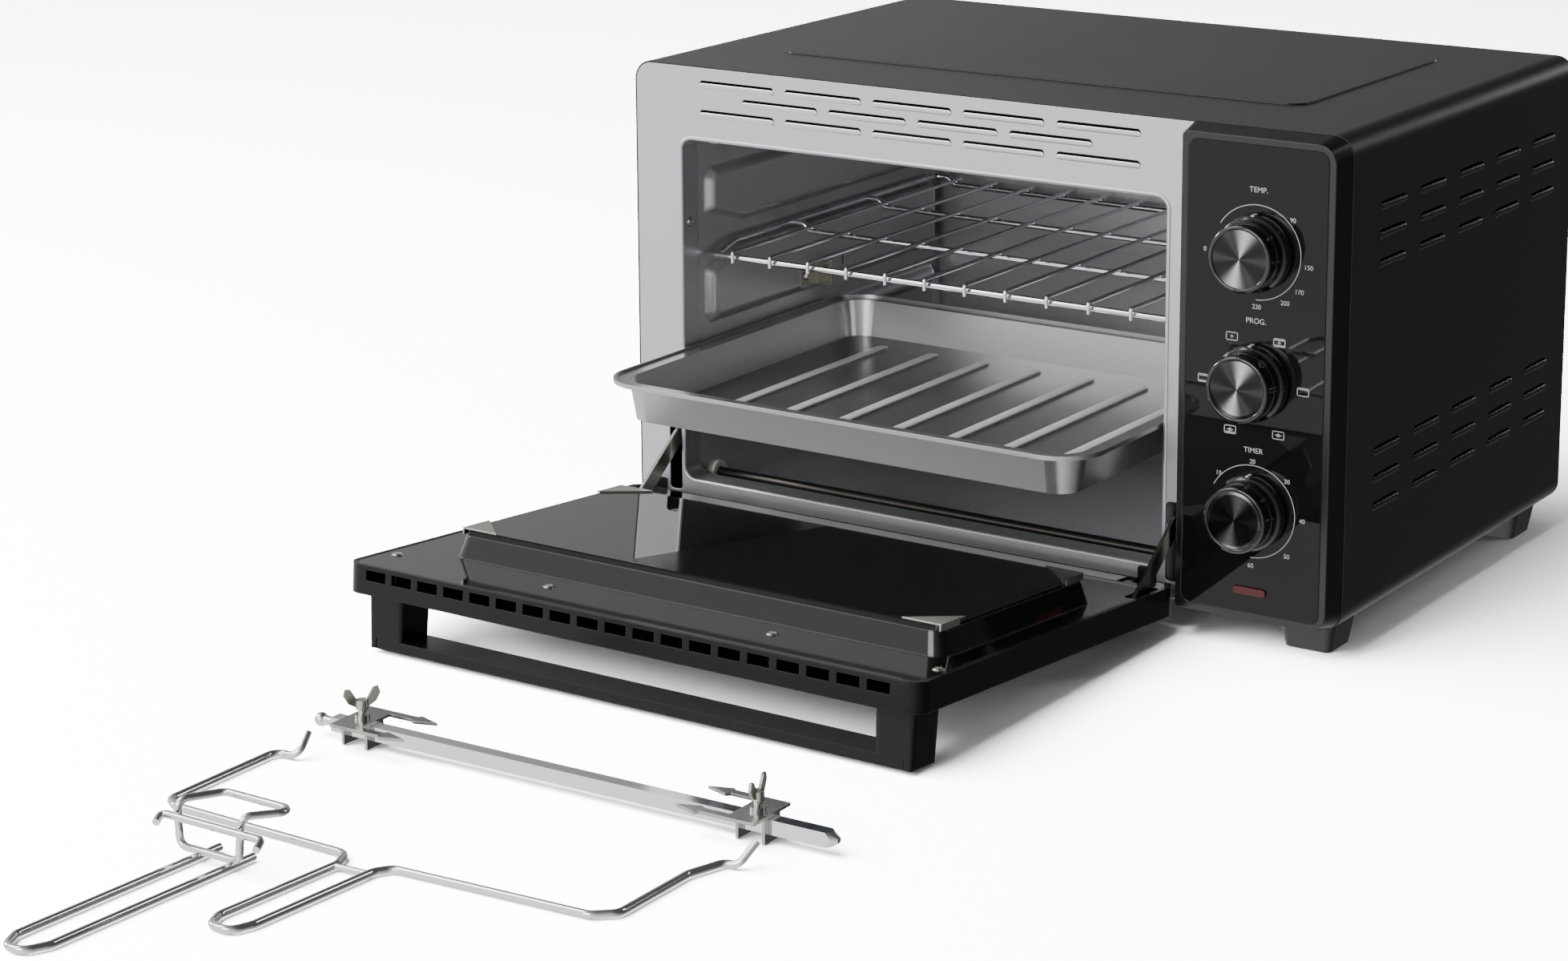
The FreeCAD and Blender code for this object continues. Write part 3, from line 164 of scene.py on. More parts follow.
def soft_grain_group():
    """Softened edges with a fine coat grain on them."""
    g = bpy.data.node_groups.get("Soft edges and grain")
    if g:
        return g
    g, i, o = new_group(
        "Soft edges and grain",
        [("Grain per metre", "NodeSocketFloat", 900.0),
         ("Grain height", "NodeSocketFloat", 0.00005),
         ("Edge radius", "NodeSocketFloat", 0.0006)],
        [("Normal", "NodeSocketVector"), ("Grain", "NodeSocketFloat")])
    at = add_node(g, "TexCoord")
    noise = add_node(g, "TexNoise", Detail=3.0)
    bevel = add_node(g, "Bevel")
    bevel.samples = 4
    bump = add_node(g, "Bump", Strength=0.6)
    link(g, at.outputs["Object"], noise.inputs["Vector"])
    link(g, i.outputs["Grain per metre"], noise.inputs["Scale"])
    link(g, noise.outputs["Fac"], bump.inputs["Height"])
    link(g, i.outputs["Grain height"], bump.inputs["Distance"])
    link(g, i.outputs["Edge radius"], bevel.inputs["Radius"])
    link(g, bevel.outputs["Normal"], bump.inputs["Normal"])
    link(g, bump.outputs["Normal"], o.inputs["Normal"])
    link(g, noise.outputs["Fac"], o.inputs["Grain"])
    return g


def handling_group():
    """Broad smudges, and a little dust that gathers on upward faces."""
    g = bpy.data.node_groups.get("Handling marks")
    if g:
        return g
    g, i, o = new_group(
        "Handling marks",
        [("Marks per metre", "NodeSocketFloat", 9.0), ("Amount", "NodeSocketFloat", 0.5),
         ("Dust", "NodeSocketFloat", 0.15)],
        [("Marks", "NodeSocketFloat"), ("Dust", "NodeSocketFloat")])
    at = add_node(g, "TexCoord")
    broad = add_node(g, "TexNoise", Detail=5.0, Roughness=0.62)
    spread = add_node(g, "MapRange", From_Min=0.35, From_Max=0.7)
    link(g, at.outputs["Object"], broad.inputs["Vector"])
    link(g, i.outputs["Marks per metre"], broad.inputs["Scale"])
    link(g, broad.outputs["Fac"], spread.inputs["Value"])
    link(g, maths(g, "MULTIPLY", spread.outputs["Result"], i.outputs["Amount"]),
         o.inputs["Marks"])
    facing = add_node(g, "NewGeometry")
    split = add_node(g, "SeparateXYZ")
    fine = add_node(g, "TexNoise", Scale=160.0, Detail=6.0)
    up = add_node(g, "MapRange", From_Min=0.3, From_Max=1.0)
    link(g, facing.outputs["Normal"], split.inputs[0])
    link(g, split.outputs["Z"], up.inputs["Value"])
    link(g, at.outputs["Object"], fine.inputs["Vector"])
    specks = maths(g, "MULTIPLY", fine.outputs["Fac"], up.outputs["Result"])
    link(g, maths(g, "MULTIPLY", specks, i.outputs["Dust"]), o.inputs["Dust"])
    return g


def brushing_group():
    """Fine parallel lines left by rolling or brushing."""
    g = bpy.data.node_groups.get("Brushed lines")
    if g:
        return g
    g, i, o = new_group(
        "Brushed lines",
        [("Stretch", "NodeSocketVector", (6.0, 900.0, 900.0)),
         ("Height", "NodeSocketFloat", 0.00002), ("Normal", "NodeSocketVector", None)],
        [("Normal", "NodeSocketVector"), ("Lines", "NodeSocketFloat")])
    at = add_node(g, "TexCoord")
    scale = vector_maths(g, "MULTIPLY")
    noise = add_node(g, "TexNoise", Scale=1.0, Detail=4.0)
    bump = add_node(g, "Bump", Strength=0.5)
    link(g, at.outputs["Object"], scale.inputs[0])
    link(g, i.outputs["Stretch"], scale.inputs[1])
    link(g, scale.outputs["Vector"], noise.inputs["Vector"])
    link(g, noise.outputs["Fac"], bump.inputs["Height"])
    link(g, i.outputs["Height"], bump.inputs["Distance"])
    link(g, i.outputs["Normal"], bump.inputs["Normal"])
    link(g, bump.outputs["Normal"], o.inputs["Normal"])
    link(g, noise.outputs["Fac"], o.inputs["Lines"])
    return g


def spun_sectors_group():
    """Two opposite bright fans on a turned face, fading to dark between them."""
    g = bpy.data.node_groups.get("Spun sectors")
    if g:
        return g
    g, i, o = new_group(
        "Spun sectors",
        [("Centre", "NodeSocketVector", (0.0, 0.0, 0.0)), ("Turn", "NodeSocketFloat", 0.0),
         ("Sharpness", "NodeSocketFloat", 9.0)],
        [("Fans", "NodeSocketFloat")])
    at = add_node(g, "TexCoord")
    away = vector_maths(g, "SUBTRACT")
    split = add_node(g, "SeparateXYZ")
    link(g, at.outputs["Object"], away.inputs[0])
    link(g, i.outputs["Centre"], away.inputs[1])
    link(g, away.outputs["Vector"], split.inputs[0])
    angle = maths(g, "ARCTAN2", split.outputs["Z"], split.outputs["X"])
    wave = maths(g, "COSINE", maths(g, "SUBTRACT", angle, i.outputs["Turn"]))
    fans = maths(g, "POWER", maths(g, "ABSOLUTE", wave), i.outputs["Sharpness"])
    ripple = maths(g, "COSINE", maths(g, "MULTIPLY", angle, 3.0))
    faint = maths(g, "POWER", maths(g, "ABSOLUTE", ripple), 6.0)
    link(g, maths(g, "ADD", fans, maths(g, "MULTIPLY", faint, 0.06)), o.inputs["Fans"])
    return g


# ---------------------------------------------------------------- finishes
DUST_COLOUR = (0.12, 0.12, 0.115, 1)


def colour_mix(tree, factor, a, b):
    """Add a colour Mix node; a may be a colour or an output, b is a colour."""
    node = tree.nodes.new("ShaderNodeMix")
    node.data_type = "RGBA"
    if isinstance(a, tuple):
        node.inputs[MIX_A].default_value = a
    else:
        link(tree, a, node.inputs[MIX_A])
    node.inputs[MIX_B].default_value = b
    link(tree, factor, node.inputs[MIX_FACTOR])
    return node.outputs[MIX_RESULT]


def add_group(tree, group):
    node = tree.nodes.new("ShaderNodeGroup")
    node.node_tree = group
    return node


def finish_material(name, colour, worn=None, rough=(0.3, 0.42), metallic=0.0,
                    grain=(900.0, 0.00004), edge=None, marks=(5.0, 0.2), dust=0.0,
                    brushed=None, coat=0.0, coat_rough=0.05, specular=0.5, transmission=0.0,
                    ior=1.5, glow=None, anisotropic=0.0):
    """Make a material from the shared groups.

    worn is the grain's second colour and rough is (clean, marked). grain is (per metre,
    height), marks is (per metre, amount), brushed is (stretch, height) and glow is (colour,
    strength).
    """
    m = bpy.data.materials.get(name)
    if m:
        return m
    m = bpy.data.materials.new(name)
    m.use_nodes = True
    t = m.node_tree
    p = t.nodes["Principled BSDF"]
    set_sockets(p, Metallic=metallic, Specular_IOR_Level=specular, IOR=ior, Coat_Weight=coat,
                Coat_Roughness=coat_rough, Transmission_Weight=transmission,
                Anisotropic=anisotropic)
    soft = add_group(t, soft_grain_group())
    set_sockets(soft, Grain_per_metre=grain[0], Grain_height=grain[1],
                Edge_radius=finishes().edge_radius if edge is None else edge)
    hand = add_group(t, handling_group())
    set_sockets(hand, Marks_per_metre=marks[0], Amount=marks[1], Dust=dust)
    normal, mask = soft.outputs["Normal"], soft.outputs["Grain"]
    if brushed:
        lines = add_group(t, brushing_group())
        set_sockets(lines, Stretch=brushed[0], Height=brushed[1])
        link(t, normal, lines.inputs["Normal"])
        normal, mask = lines.outputs["Normal"], lines.outputs["Lines"]
    link(t, normal, p.inputs["Normal"])
    second = worn or [min(1, c * 1.12 + 0.002) for c in colour]
    tone = colour_mix(t, mask, (*colour, 1), (*second, 1))
    link(t, colour_mix(t, hand.outputs["Dust"], tone, DUST_COLOUR), p.inputs["Base Color"])
    sheen = add_node(t, "MapRange", To_Min=rough[0], To_Max=rough[1])
    link(t, hand.outputs["Marks"], sheen.inputs["Value"])
    link(t, sheen.outputs["Result"], p.inputs["Roughness"])
    if glow:
        set_sockets(p, Emission_Color=(*glow[0], 1), Emission_Strength=glow[1])
    return m


def shell_coat():
    c = tuple(finishes().shell_colour)
    return finish_material("shell_powder_coat", c, rough=(0.30, 0.38), grain=(1400.0, 0.00005),
                           dust=0.006, edge=0.0008, specular=0.4)


def front_paint():
    c = tuple(finishes().front_colour)
    return finish_material("front_silver_paint", c, rough=(0.34, 0.42), metallic=0.85,
                           grain=(2200.0, 0.00002), marks=(6.0, 0.5))


def pressed_paint():
    """The front plate's paint where pressing has stretched and polished it."""
    c = tuple(finishes().front_colour)
    return finish_material("front_silver_pressed", [v * 1.12 for v in c], rough=(0.16, 0.22),
                           metallic=0.9, grain=(2200.0, 0.00001), marks=(6.0, 0.4), edge=0.0)


def chamber_steel():
    c = tuple(finishes().chamber_colour)
    return finish_material("chamber_aluminised_steel", c, worn=[v * 1.12 for v in c],
                           rough=(0.26, 0.34), metallic=0.6, grain=(60.0, 0.00001),
                           marks=(3.0, 0.15), brushed=((300.0, 9.0, 300.0), 0.00001), edge=0.0)


def satin_black_plastic():
    return finish_material("moulding_satin_black", (0.0045, 0.0045, 0.0045), rough=(0.2, 0.28),
                           grain=(2600.0, 0.00002), dust=0.004, edge=0.0012)


def fascia_gloss():
    return finish_material("fascia_gloss_black", (0.0035, 0.0035, 0.0038), rough=(0.02, 0.05),
                           grain=(600.0, 0.000001), dust=0.002, coat=0.08, coat_rough=0.02,
                           specular=0.2)


def knob_black():
    return finish_material("knob_gloss_black", (0.0035, 0.0035, 0.0035), rough=(0.08, 0.14),
                           grain=(1800.0, 0.000003), dust=0.002, edge=0.0007, coat=0.3)


def print_white():
    return finish_material("dial_print_white", (0.40, 0.40, 0.40), rough=(0.4, 0.5),
                           grain=(3000.0, 0.000004), edge=0.0)


def lamp_red():
    c = tuple(finishes().lamp_colour)
    return finish_material("lamp_red_lens", c, rough=(0.12, 0.2), grain=(1500.0, 0.00001),
                           coat=0.1, specular=0.3, glow=(c, 0.03))


def door_coat():
    return finish_material("door_satin_black", (0.004, 0.004, 0.0042), rough=(0.2, 0.3),
                           grain=(1800.0, 0.00002), dust=0.004, edge=0.0009, specular=0.2)


def panel_enamel():
    return finish_material("panel_gloss_enamel", (0.0028, 0.0028, 0.003), rough=(0.06, 0.12),
                           grain=(420.0, 0.000005), dust=0.002, edge=0.0016, coat=0.25,
                           coat_rough=0.04, specular=0.3)


def door_glass():
    return finish_material("door_dark_glass", (0.03, 0.031, 0.036), worn=(0.034, 0.035, 0.04),
                           rough=(0.0, 0.015), grain=(40.0, 0.0000001), edge=0.0,
                           transmission=0.75, specular=0.8, ior=1.55)


def bright_chrome():
    return finish_material("bright_chrome", (0.66, 0.67, 0.69), worn=(0.58, 0.59, 0.61),
                           rough=(0.06, 0.12), metallic=1.0, grain=(700.0, 0.000006),
                           edge=0.0002, marks=(12.0, 0.3))


def fork_steel():
    return finish_material("fork_pressed_steel", (0.34, 0.33, 0.32), worn=(0.46, 0.45, 0.44),
                           rough=(0.22, 0.38), metallic=1.0, grain=(900.0, 0.00002),
                           edge=0.0003, marks=(30.0, 0.5))


def tray_steel():
    c = tuple(finishes().tray_colour)
    return finish_material("tray_satin_steel", c, worn=[v * 0.86 for v in c],
                           rough=(0.26, 0.34), metallic=0.9, grain=(500.0, 0.000006),
                           edge=0.0003, brushed=((500.0, 6.0, 500.0), 0.00001),
                           marks=(3.0, 0.15))


def rib_steel():
    """The tray's steel on its rib tops, which are rubbed pale."""
    return finish_material("tray_rib_steel", (0.86, 0.86, 0.85), worn=(0.8, 0.8, 0.79),
                           rough=(0.38, 0.46), metallic=0.35, grain=(500.0, 0.000006),
                           edge=0.0012, marks=(6.0, 0.4))


def zinc_plate():
    return finish_material("zinc_plate", (0.46, 0.46, 0.43), worn=(0.56, 0.54, 0.47),
                           rough=(0.16, 0.3), metallic=1.0, grain=(1200.0, 0.00001),
                           edge=0.0003, marks=(30.0, 0.5))


def hinge_black():
    return finish_material("hinge_black_steel", (0.008, 0.008, 0.008), rough=(0.24, 0.34),
                           metallic=0.3, grain=(1500.0, 0.00002), dust=0.004, edge=0.0006)


def heater_sheath():
    return finish_material("heater_oxidised_sheath", (0.055, 0.052, 0.05),
                           worn=(0.09, 0.083, 0.076), rough=(0.32, 0.5), metallic=0.9,
                           grain=(700.0, 0.00003))


def steatite():
    return finish_material("steatite_ceramic", (0.72, 0.70, 0.64), rough=(0.45, 0.6),
                           grain=(900.0, 0.00003), dust=0.02)


def foot_rubber():
    return finish_material("foot_moulded_black", (0.005, 0.005, 0.005), rough=(0.36, 0.46),
                           grain=(1600.0, 0.00004), dust=0.008, edge=0.0009)


def spun_disc_metal(name, centre):
    """Turned metal of a dial's face, with its two bright fans about the dial's centre."""
    m = finish_material("dial_spun_metal_" + name, (0.05, 0.05, 0.052), rough=(0.16, 0.22),
                        metallic=1.0, grain=(900.0, 0.000002), edge=0.0, anisotropic=0.8)
    t = m.node_tree
    p = t.nodes["Principled BSDF"]
    around = add_node(t, "Tangent")
    around.direction_type = "RADIAL"
    around.axis = "Y"
    link(t, around.outputs["Tangent"], p.inputs["Tangent"])
    fans = add_group(t, spun_sectors_group())
    set_sockets(fans, Centre=centre, Turn=math.radians(76), Sharpness=20.0)
    tone = colour_mix(t, fans.outputs["Fans"], (0.022, 0.022, 0.023, 1), (0.46, 0.46, 0.47, 1))
    link(t, tone, p.inputs["Base Color"])
    return m


# ---------------------------------------------------------------- mesh helpers
BOX_FACES = ((0, 1, 2, 3), (4, 7, 6, 5), (0, 4, 5, 1), (1, 5, 6, 2), (2, 6, 7, 3), (3, 7, 4, 0))


def dress(material, *nodes):
    """Give CAD nodes a finish."""
    for n in nodes:
        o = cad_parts[n]
        o.data.materials.clear()
        o.data.materials.append(material)


def piece(name, verts, faces, material, body, smooth=35.0):
    """Make a visible piece that rides a body; edges sharper than smooth degrees stay sharp."""
    mesh = bpy.data.meshes.new(name)
    mesh.from_pydata([tuple(v) for v in verts], [], faces)
    bm = bmesh.new()
    bm.from_mesh(mesh)
    bmesh.ops.recalc_face_normals(bm, faces=bm.faces)
    bm.to_mesh(mesh)
    bm.free()
    mesh.materials.append(material)
    mesh.shade_smooth()
    mesh.set_sharp_from_angle(angle=math.radians(smooth))
    o = bpy.data.objects.new(name, mesh)
    bpy.context.scene.collection.objects.link(o)
    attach(o, body)
    return o


def merge(sets):
    """Join (points, faces) sets into one."""
    verts, faces = [], []
    for v, f in sets:
        base = len(verts)
        verts += v
        faces += [tuple(i + base for i in q) for q in f]
    return verts, faces


def tube_faces(rings, sides, closed=False):
    """Faces that join rings of points; an open tube gets its two ends."""
    faces = []
    for i in range(rings if closed else rings - 1):
        j = (i + 1) % rings
        for k in range(sides):
            m = (k + 1) % sides
            faces.append((i * sides + k, i * sides + m, j * sides + m, j * sides + k))
    if not closed:
        faces.append(tuple(range(sides)))
        faces.append(tuple((rings - 1) * sides + k for k in range(sides)))
    return faces


def rounded_outline(u0, u1, v0, v1, r, steps):
    pts = []
    for cu, cv, a in ((u1 - r, v1 - r, 0), (u0 + r, v1 - r, 90), (u0 + r, v0 + r, 180),
                      (u1 - r, v0 + r, 270)):
        for k in range(steps + 1):
            q = math.radians(a + 90.0 * k / steps)
            pts.append((cu + r * math.cos(q), cv + r * math.sin(q)))
    return pts


def sweep_loop(outline, to_world, radius, sides):
    """Round bead along a closed outline; to_world(u, v, out) gives the place."""
    verts = []
    n = len(outline)
    for i in range(n):
        a, b = outline[i - 1], outline[(i + 1) % n]
        t = Vector((b[0] - a[0], b[1] - a[1])).normalized()
        nx, ny = t.y, -t.x
        for k in range(sides):
            q = 2 * math.pi * k / sides
            d = radius * math.cos(q)
            verts.append(to_world(outline[i][0] + nx * d, outline[i][1] + ny * d,
                                  radius * math.sin(q)))
    return verts, tube_faces(n, sides, closed=True)


def rod(points, radius, bend, sides=14, steps=6):
    """Round wire along a line of points, with its corners bent to a radius."""
    pts = [Vector(p) for p in points]
    line = [pts[0]]
    for a, b, c in zip(pts, pts[1:], pts[2:]):
        u, v = (a - b).normalized(), (c - b).normalized()
        half = u.angle(v) / 2
        reach = min(bend / max(math.tan(half), 1e-3), (a - b).length * 0.49,
                    (c - b).length * 0.49)
        if reach < 1e-5:
            line.append(b)
            continue
        p, q = b + u * reach, b + v * reach
        for k in range(steps + 1):
            t = k / steps
            line.append(p * (1 - t) ** 2 + b * 2 * t * (1 - t) + q * t * t)
    line.append(pts[-1])
    verts = []
    side = None
    for i, at in enumerate(line):
        ahead = (line[min(i + 1, len(line) - 1)] - line[max(i - 1, 0)]).normalized()
        if side is None:
            side = ahead.orthogonal().normalized()
        side = (side - ahead * side.dot(ahead)).normalized()
        other = ahead.cross(side)
        for k in range(sides):
            q = 2 * math.pi * k / sides
            verts.append(tuple(at + (side * math.cos(q) + other * math.sin(q)) * radius))
    return verts, tube_faces(len(line), sides)


def lathe(profile, centre, steps=96):
    """Turn a (radius, depth) profile about the line through centre along Y."""
    verts, faces = [], []
    for k in range(steps):
        q = 2 * math.pi * k / steps
        for r, d in profile:
            verts.append((centre.x + r * math.cos(q), centre.y + d,
                          centre.z + r * math.sin(q)))
    n = len(profile)
    for k in range(steps):
        j = (k + 1) % steps
        for i in range(n - 1):
            faces.append((k * n + i, j * n + i, j * n + i + 1, k * n + i + 1))
    for end in (0, n - 1):
        if profile[end][0] > 1e-6:
            faces.append(tuple(k * n + end for k in range(steps)))
    return verts, faces


def dial_centre(name):
    """Where a dial's shaft meets the fascia."""
    lo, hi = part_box("shaft_" + name)
    return Vector(((lo.x + hi.x) / 2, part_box("control_fascia")[0].y, (lo.z + hi.z) / 2))


# ---------------------------------------------------------------- cabinet
# Slots are (length, height); rows are (height above the table, count, shift in pitches)
FRONT_SLOT = (54 * MM, 4.6 * MM)
FRONT_SLOT_START = MID_X - 191.9 * MM
FRONT_SLOT_PITCH = 61.9 * MM
FRONT_SLOT_ROWS = ((285 * MM, 5, 0), (276 * MM, 4, 0.5), (267 * MM, 5, 0))
FRONT_BULB = 0.3

# Columns of side slots are in mm behind the front plate, and rows in mm above the table
SIDE_SLOT = (33 * MM, 5 * MM)
SIDE_SLOT_START, SIDE_SLOT_PITCH, SIDE_SLOT_COLUMNS = 35, 52.8, 5
SIDE_SLOT_ROWS = (252.0, 236.0, 219.5, 112.5, 96.7, 80.5)
SIDE_BULB = -0.55
SIDE_RISE = 1.8

# A hood starts this far behind the sheet, in rises, and closes to this share of its reach
HOOD_ROOT, HOOD_TIP = -0.75, 0.02

BEAD_RADIUS = 1.3 * MM
BEAD_SINK = 0.7 * MM
BEAD_CORNER = 8.3 * MM
OPENING_X = (MID_X - 205.5 * MM, MID_X + 127 * MM)
OPENING_Z = (36.3 * MM, 250 * MM)


def louvre_hoods(places, size, rise, to_world, bulb):
    """Half-round pressed hoods that leave a slit open along the top of each slot.

    A bulb above 0 lowers each hood towards its far end, and one below 0 towards its near end.
    """
    gap = details().slit_gap
    steps = details().curve_steps
    high = (size[1] - gap) / 2
    near, far = 1.0 - max(-bulb, 0.0), 1.0 - max(bulb, 0.0)
    quarter = [math.radians(15.0 * k) for k in range(7)]
    turns = [(HOOD_ROOT, 1.0)] + [(math.sin(q), math.cos(q)) for q in quarter]
    sets = []
    for u, v in places:
        cv = v - gap / 2
        verts = []
        for out, reach in turns:
            r = high * max(reach, HOOD_TIP)
            for cu, first, full in ((u + size[0] - high, -90, far), (u + high, 90, near)):
                for k in range(2 * steps + 1):
                    q = math.radians(first + 90.0 * k / steps)
                    verts.append(to_world(cu + r * math.cos(q), cv + r * math.sin(q),
                                          out * rise * full))
        sets.append((verts, tube_faces(len(turns), 2 * (2 * steps + 1))))
    return merge(sets)


class OVEN_OT_cabinet(bpy.types.Operator):
    """Finish the shell, front plate, back, base and feet"""
    bl_idname = "oven.cabinet"
    bl_label = "Cabinet"

    def execute(self, context):
        dress(shell_coat(), "outer_shell", "back_panel", "base_plate")
        dress(front_paint(), "front_frame")
        dress(foot_rubber(), "feet_front", "feet_rear")
        rise = details().hood_rise
        front = [(FRONT_SLOT_START + (k + shift) * FRONT_SLOT_PITCH, z)
                 for z, count, shift in FRONT_SLOT_ROWS for k in range(count)]
        v, f = louvre_hoods(front, FRONT_SLOT, rise, lambda u, w, t: (u, FRONT - t, w),
                            FRONT_BULB)
        piece("front_louvre_hoods", v, f, pressed_paint(), "cabinet", smooth=80)
        side = [(FRONT + (SIDE_SLOT_START + k * SIDE_SLOT_PITCH) * MM, z * MM)
                for k in range(SIDE_SLOT_COLUMNS) for z in SIDE_SLOT_ROWS]
        sets = []
        for x, away in ((CAB_LO.x, -1), (CAB_HI.x, 1)):
            sets.append(louvre_hoods(side, SIDE_SLOT, rise * SIDE_RISE,
                                     lambda u, w, t, x=x, away=away: (x + away * t, u, w),
                                     SIDE_BULB))
        v, f = merge(sets)
        piece("side_louvre_hoods", v, f, shell_coat(), "cabinet", smooth=80)
        r = BEAD_RADIUS
        line = rounded_outline(OPENING_X[0] - r, OPENING_X[1] + r, OPENING_Z[0] - r,
                               OPENING_Z[1] + r, BEAD_CORNER, 10)
        v, f = sweep_loop(line, lambda a, b, t: (a, FRONT + BEAD_SINK + t, b), r, 12)
        piece("opening_bead", v, f, front_paint(), "cabinet")
        return {"FINISHED"}


# ---------------------------------------------------------------- chamber
# Outlines of the pressed ridges, in mm: depth behind the front plate, height above the table
RIDGES = (
    ((22, 110), (28, 104), (288, 104), (288, 117), (28, 117), (22, 111)),
    ((22, 136), (28, 130), (288, 130), (288, 176), (60, 176), (22, 165)),
    ((22, 200), (60, 189), (288, 189), (288, 228), (28, 228), (22, 222)),
)
RIDGE_RISE = 5.45
RIDGE_BACK = 288

# Side walls, in mm: depths and heights as above, and faces from the cabinet's middle
WALL_DEPTHS = (1.2, 298.8)
WALL_HEIGHTS = (22.2, 261.8)
WALL_ROWS = 200
WALL_SHEET = 0.9
WALL_STAND_OFF = 0.02
LEFT_WALL, RIGHT_WALL = -206.6, 128.1
SOCKET_HOLE = 9.5


def ridge_height(y, z, soft):
    """How far the pressed ridges stand in, from 0 to 1."""
    best = 0.0
    for line in RIDGES:
        inside = math.inf
        for (ya, za), (yb, zb) in zip(line, line[1:] + line[:1]):
            length = math.hypot(yb - ya, zb - za)
            inside = min(inside, ((yb - ya) * (z - za) - (zb - za) * (y - ya)) / length)
        k = min(1.0, max(0.0, inside / soft))
        best = max(best, k * k * (3 - 2 * k))
    return best


def pressed_wall(name, wall, side, material, hole=None):
    """One side wall; side is the way its ridges stand, and hole is (depth, height, radius)."""
    inner = MID_X + wall * MM
    soft = details().ridge_softness / MM
    z0, z1 = WALL_HEIGHTS
    # columns lie close together over the ridges' slanted fronts and their back slopes
    ys = sorted(set([WALL_DEPTHS[0], 12.0] + [20 + 1.2 * k for k in range(40)]
                    + [70 + 6.0 * k for k in range(36)]
                    + [RIDGE_BACK - k * soft / 5 for k in range(6)] + [WALL_DEPTHS[1]]))
    zs = [z0 + (z1 - z0) * k / WALL_ROWS for k in range(WALL_ROWS + 1)]
    verts, faces = [], []
    for y in ys:
        for z in zs:
            h = ridge_height(y, z, soft)
            verts.append((inner + side * (h * RIDGE_RISE + WALL_STAND_OFF) * MM,
                          FRONT + y * MM, z * MM))
    n = len(zs)
    for i in range(len(ys) - 1):
        for j in range(WALL_ROWS):
            if hole:
                cy, cz = (ys[i] + ys[i + 1]) / 2, (zs[j] + zs[j + 1]) / 2
                if math.hypot(cy - hole[0], cz - hole[1]) < hole[2]:
                    continue
            faces.append((i * n + j, (i + 1) * n + j, (i + 1) * n + j + 1, i * n + j + 1))
    o = piece(name, verts, faces, material, "cabinet", smooth=60)
    m = o.modifiers.new("sheet", "SOLIDIFY")
    m.thickness = WALL_SHEET * MM
    m.offset = 1.0 if side < 0 else -1.0
    return o


class OVEN_OT_chamber(bpy.types.Operator):
    """Pressed chamber walls, roof, floor, heaters and the spit seat"""
    bl_idname = "oven.chamber"
    bl_label = "Chamber"

    def execute(self, context):
        steel = chamber_steel()
        dress(steel, "cavity_left_wall", "cavity_right_wall", "cavity_floor", "cavity_roof",
              "cavity_rear_wall")
        dress(heater_sheath(), "upper_heaters", "lower_heaters")
        dress(steatite(), "heater_insulators")
        dress(zinc_plate(), "spit_support_bracket", "rotisserie_motor", "drive_socket")
        left = pressed_wall("pressed_left_wall", LEFT_WALL, 1, steel)
        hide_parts("cavity_left_wall")
        lo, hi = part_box("drive_socket")
        hole = ((lo.y + hi.y) / 2 / MM - FRONT / MM, (lo.z + hi.z) / 2 / MM, SOCKET_HOLE)
        right = pressed_wall("pressed_right_wall", RIGHT_WALL, -1, steel, hole)
        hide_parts("cavity_right_wall")
        return {"FINISHED"}


# ---------------------------------------------------------------- control panel
PRINT_FILM = 0.00006
TEXT_FILM = 0.00004
PRINT_STAND_OFF = 0.00002
NUMBER_HEIGHT, HEADING_HEIGHT = 3.7 * MM, 4.3 * MM
SCALE_RADIUS = 26.5 * MM
SCALE_SPANS = {"temp": (-90, 148), "timer": (-90, 152)}

# Words and pictures with their places from the dial's centre, in mm
NUMBERS = {
    "temp": (("0", -31.6, -1.6), ("90", 21.3, 20.1), ("150", 31.2, -5.0), ("170", 26.0, -19.2),
             ("200", 17.6, -26.4), ("220", 0.5, -30.5)),
    "timer": (("10", -20.6, 19.2), ("20", 0.1, 28.6), ("30", 21.3, 20.2), ("40", 31.0, -0.9),
              ("50", 22.1, -22.6), ("60", 0.2, -31.3)),
}
HEADINGS = {"temp": ("TEMP.", 0.4, 34.7), "program": ("PROG.", 0.4, 34.4),
            "timer": ("TIMER", 0.4, 34.9)}

# t is heat from the top, b from below, f is the fan and s is the spit
PROGRAMS = (("f", -14.1, 24.2), ("tbf", 14.8, 24.1), ("t", 29.7, -1.6), ("s", 15.4, -28.1),
            ("bs", -14.1, -28.9), ("tb", -30.9, -1.9))
MARK_HALF = (3.65 * MM, 2.4 * MM)
FAN_HALF, SPIT_HALF, ROAST_RADIUS = 1.0 * MM, 2.0 * MM, 0.8 * MM


def flat_text(words, at, height):
    """Printed characters lying on the fascia, facing the cook."""
    c = bpy.data.curves.new("print", "FONT")
    c.body = words
    c.size = height
    c.align_x = "CENTER"
    c.align_y = "CENTER"
    c.extrude = TEXT_FILM
    o = bpy.data.objects.new("print", c)
    bpy.context.scene.collection.objects.link(o)
    o.rotation_euler = (math.radians(90), 0, 0)
    o.location = at
    bpy.context.view_layer.update()
    dg = bpy.context.evaluated_depsgraph_get()
    mesh = bpy.data.meshes.new_from_object(o.evaluated_get(dg))
    verts = [tuple(o.matrix_world @ v.co) for v in mesh.vertices]
    faces = [tuple(p.vertices) for p in mesh.polygons]
    bpy.data.objects.remove(o)
    return verts, faces


def ring_print(centre, radius, a0, a1, width, y, steps=90):
    """Printed arc from a0 to a1 degrees."""
    inner, outer = radius - width / 2, radius + width / 2
    verts = []
    for k in range(steps + 1):
        q = math.radians(a0 + (a1 - a0) * k / steps)
        for r, d in ((inner, 0.0), (inner, PRINT_FILM), (outer, PRINT_FILM), (outer, 0.0)):
            verts.append((centre.x + r * math.cos(q), y - d, centre.z + r * math.sin(q)))
    return verts, tube_faces(steps + 1, 4)


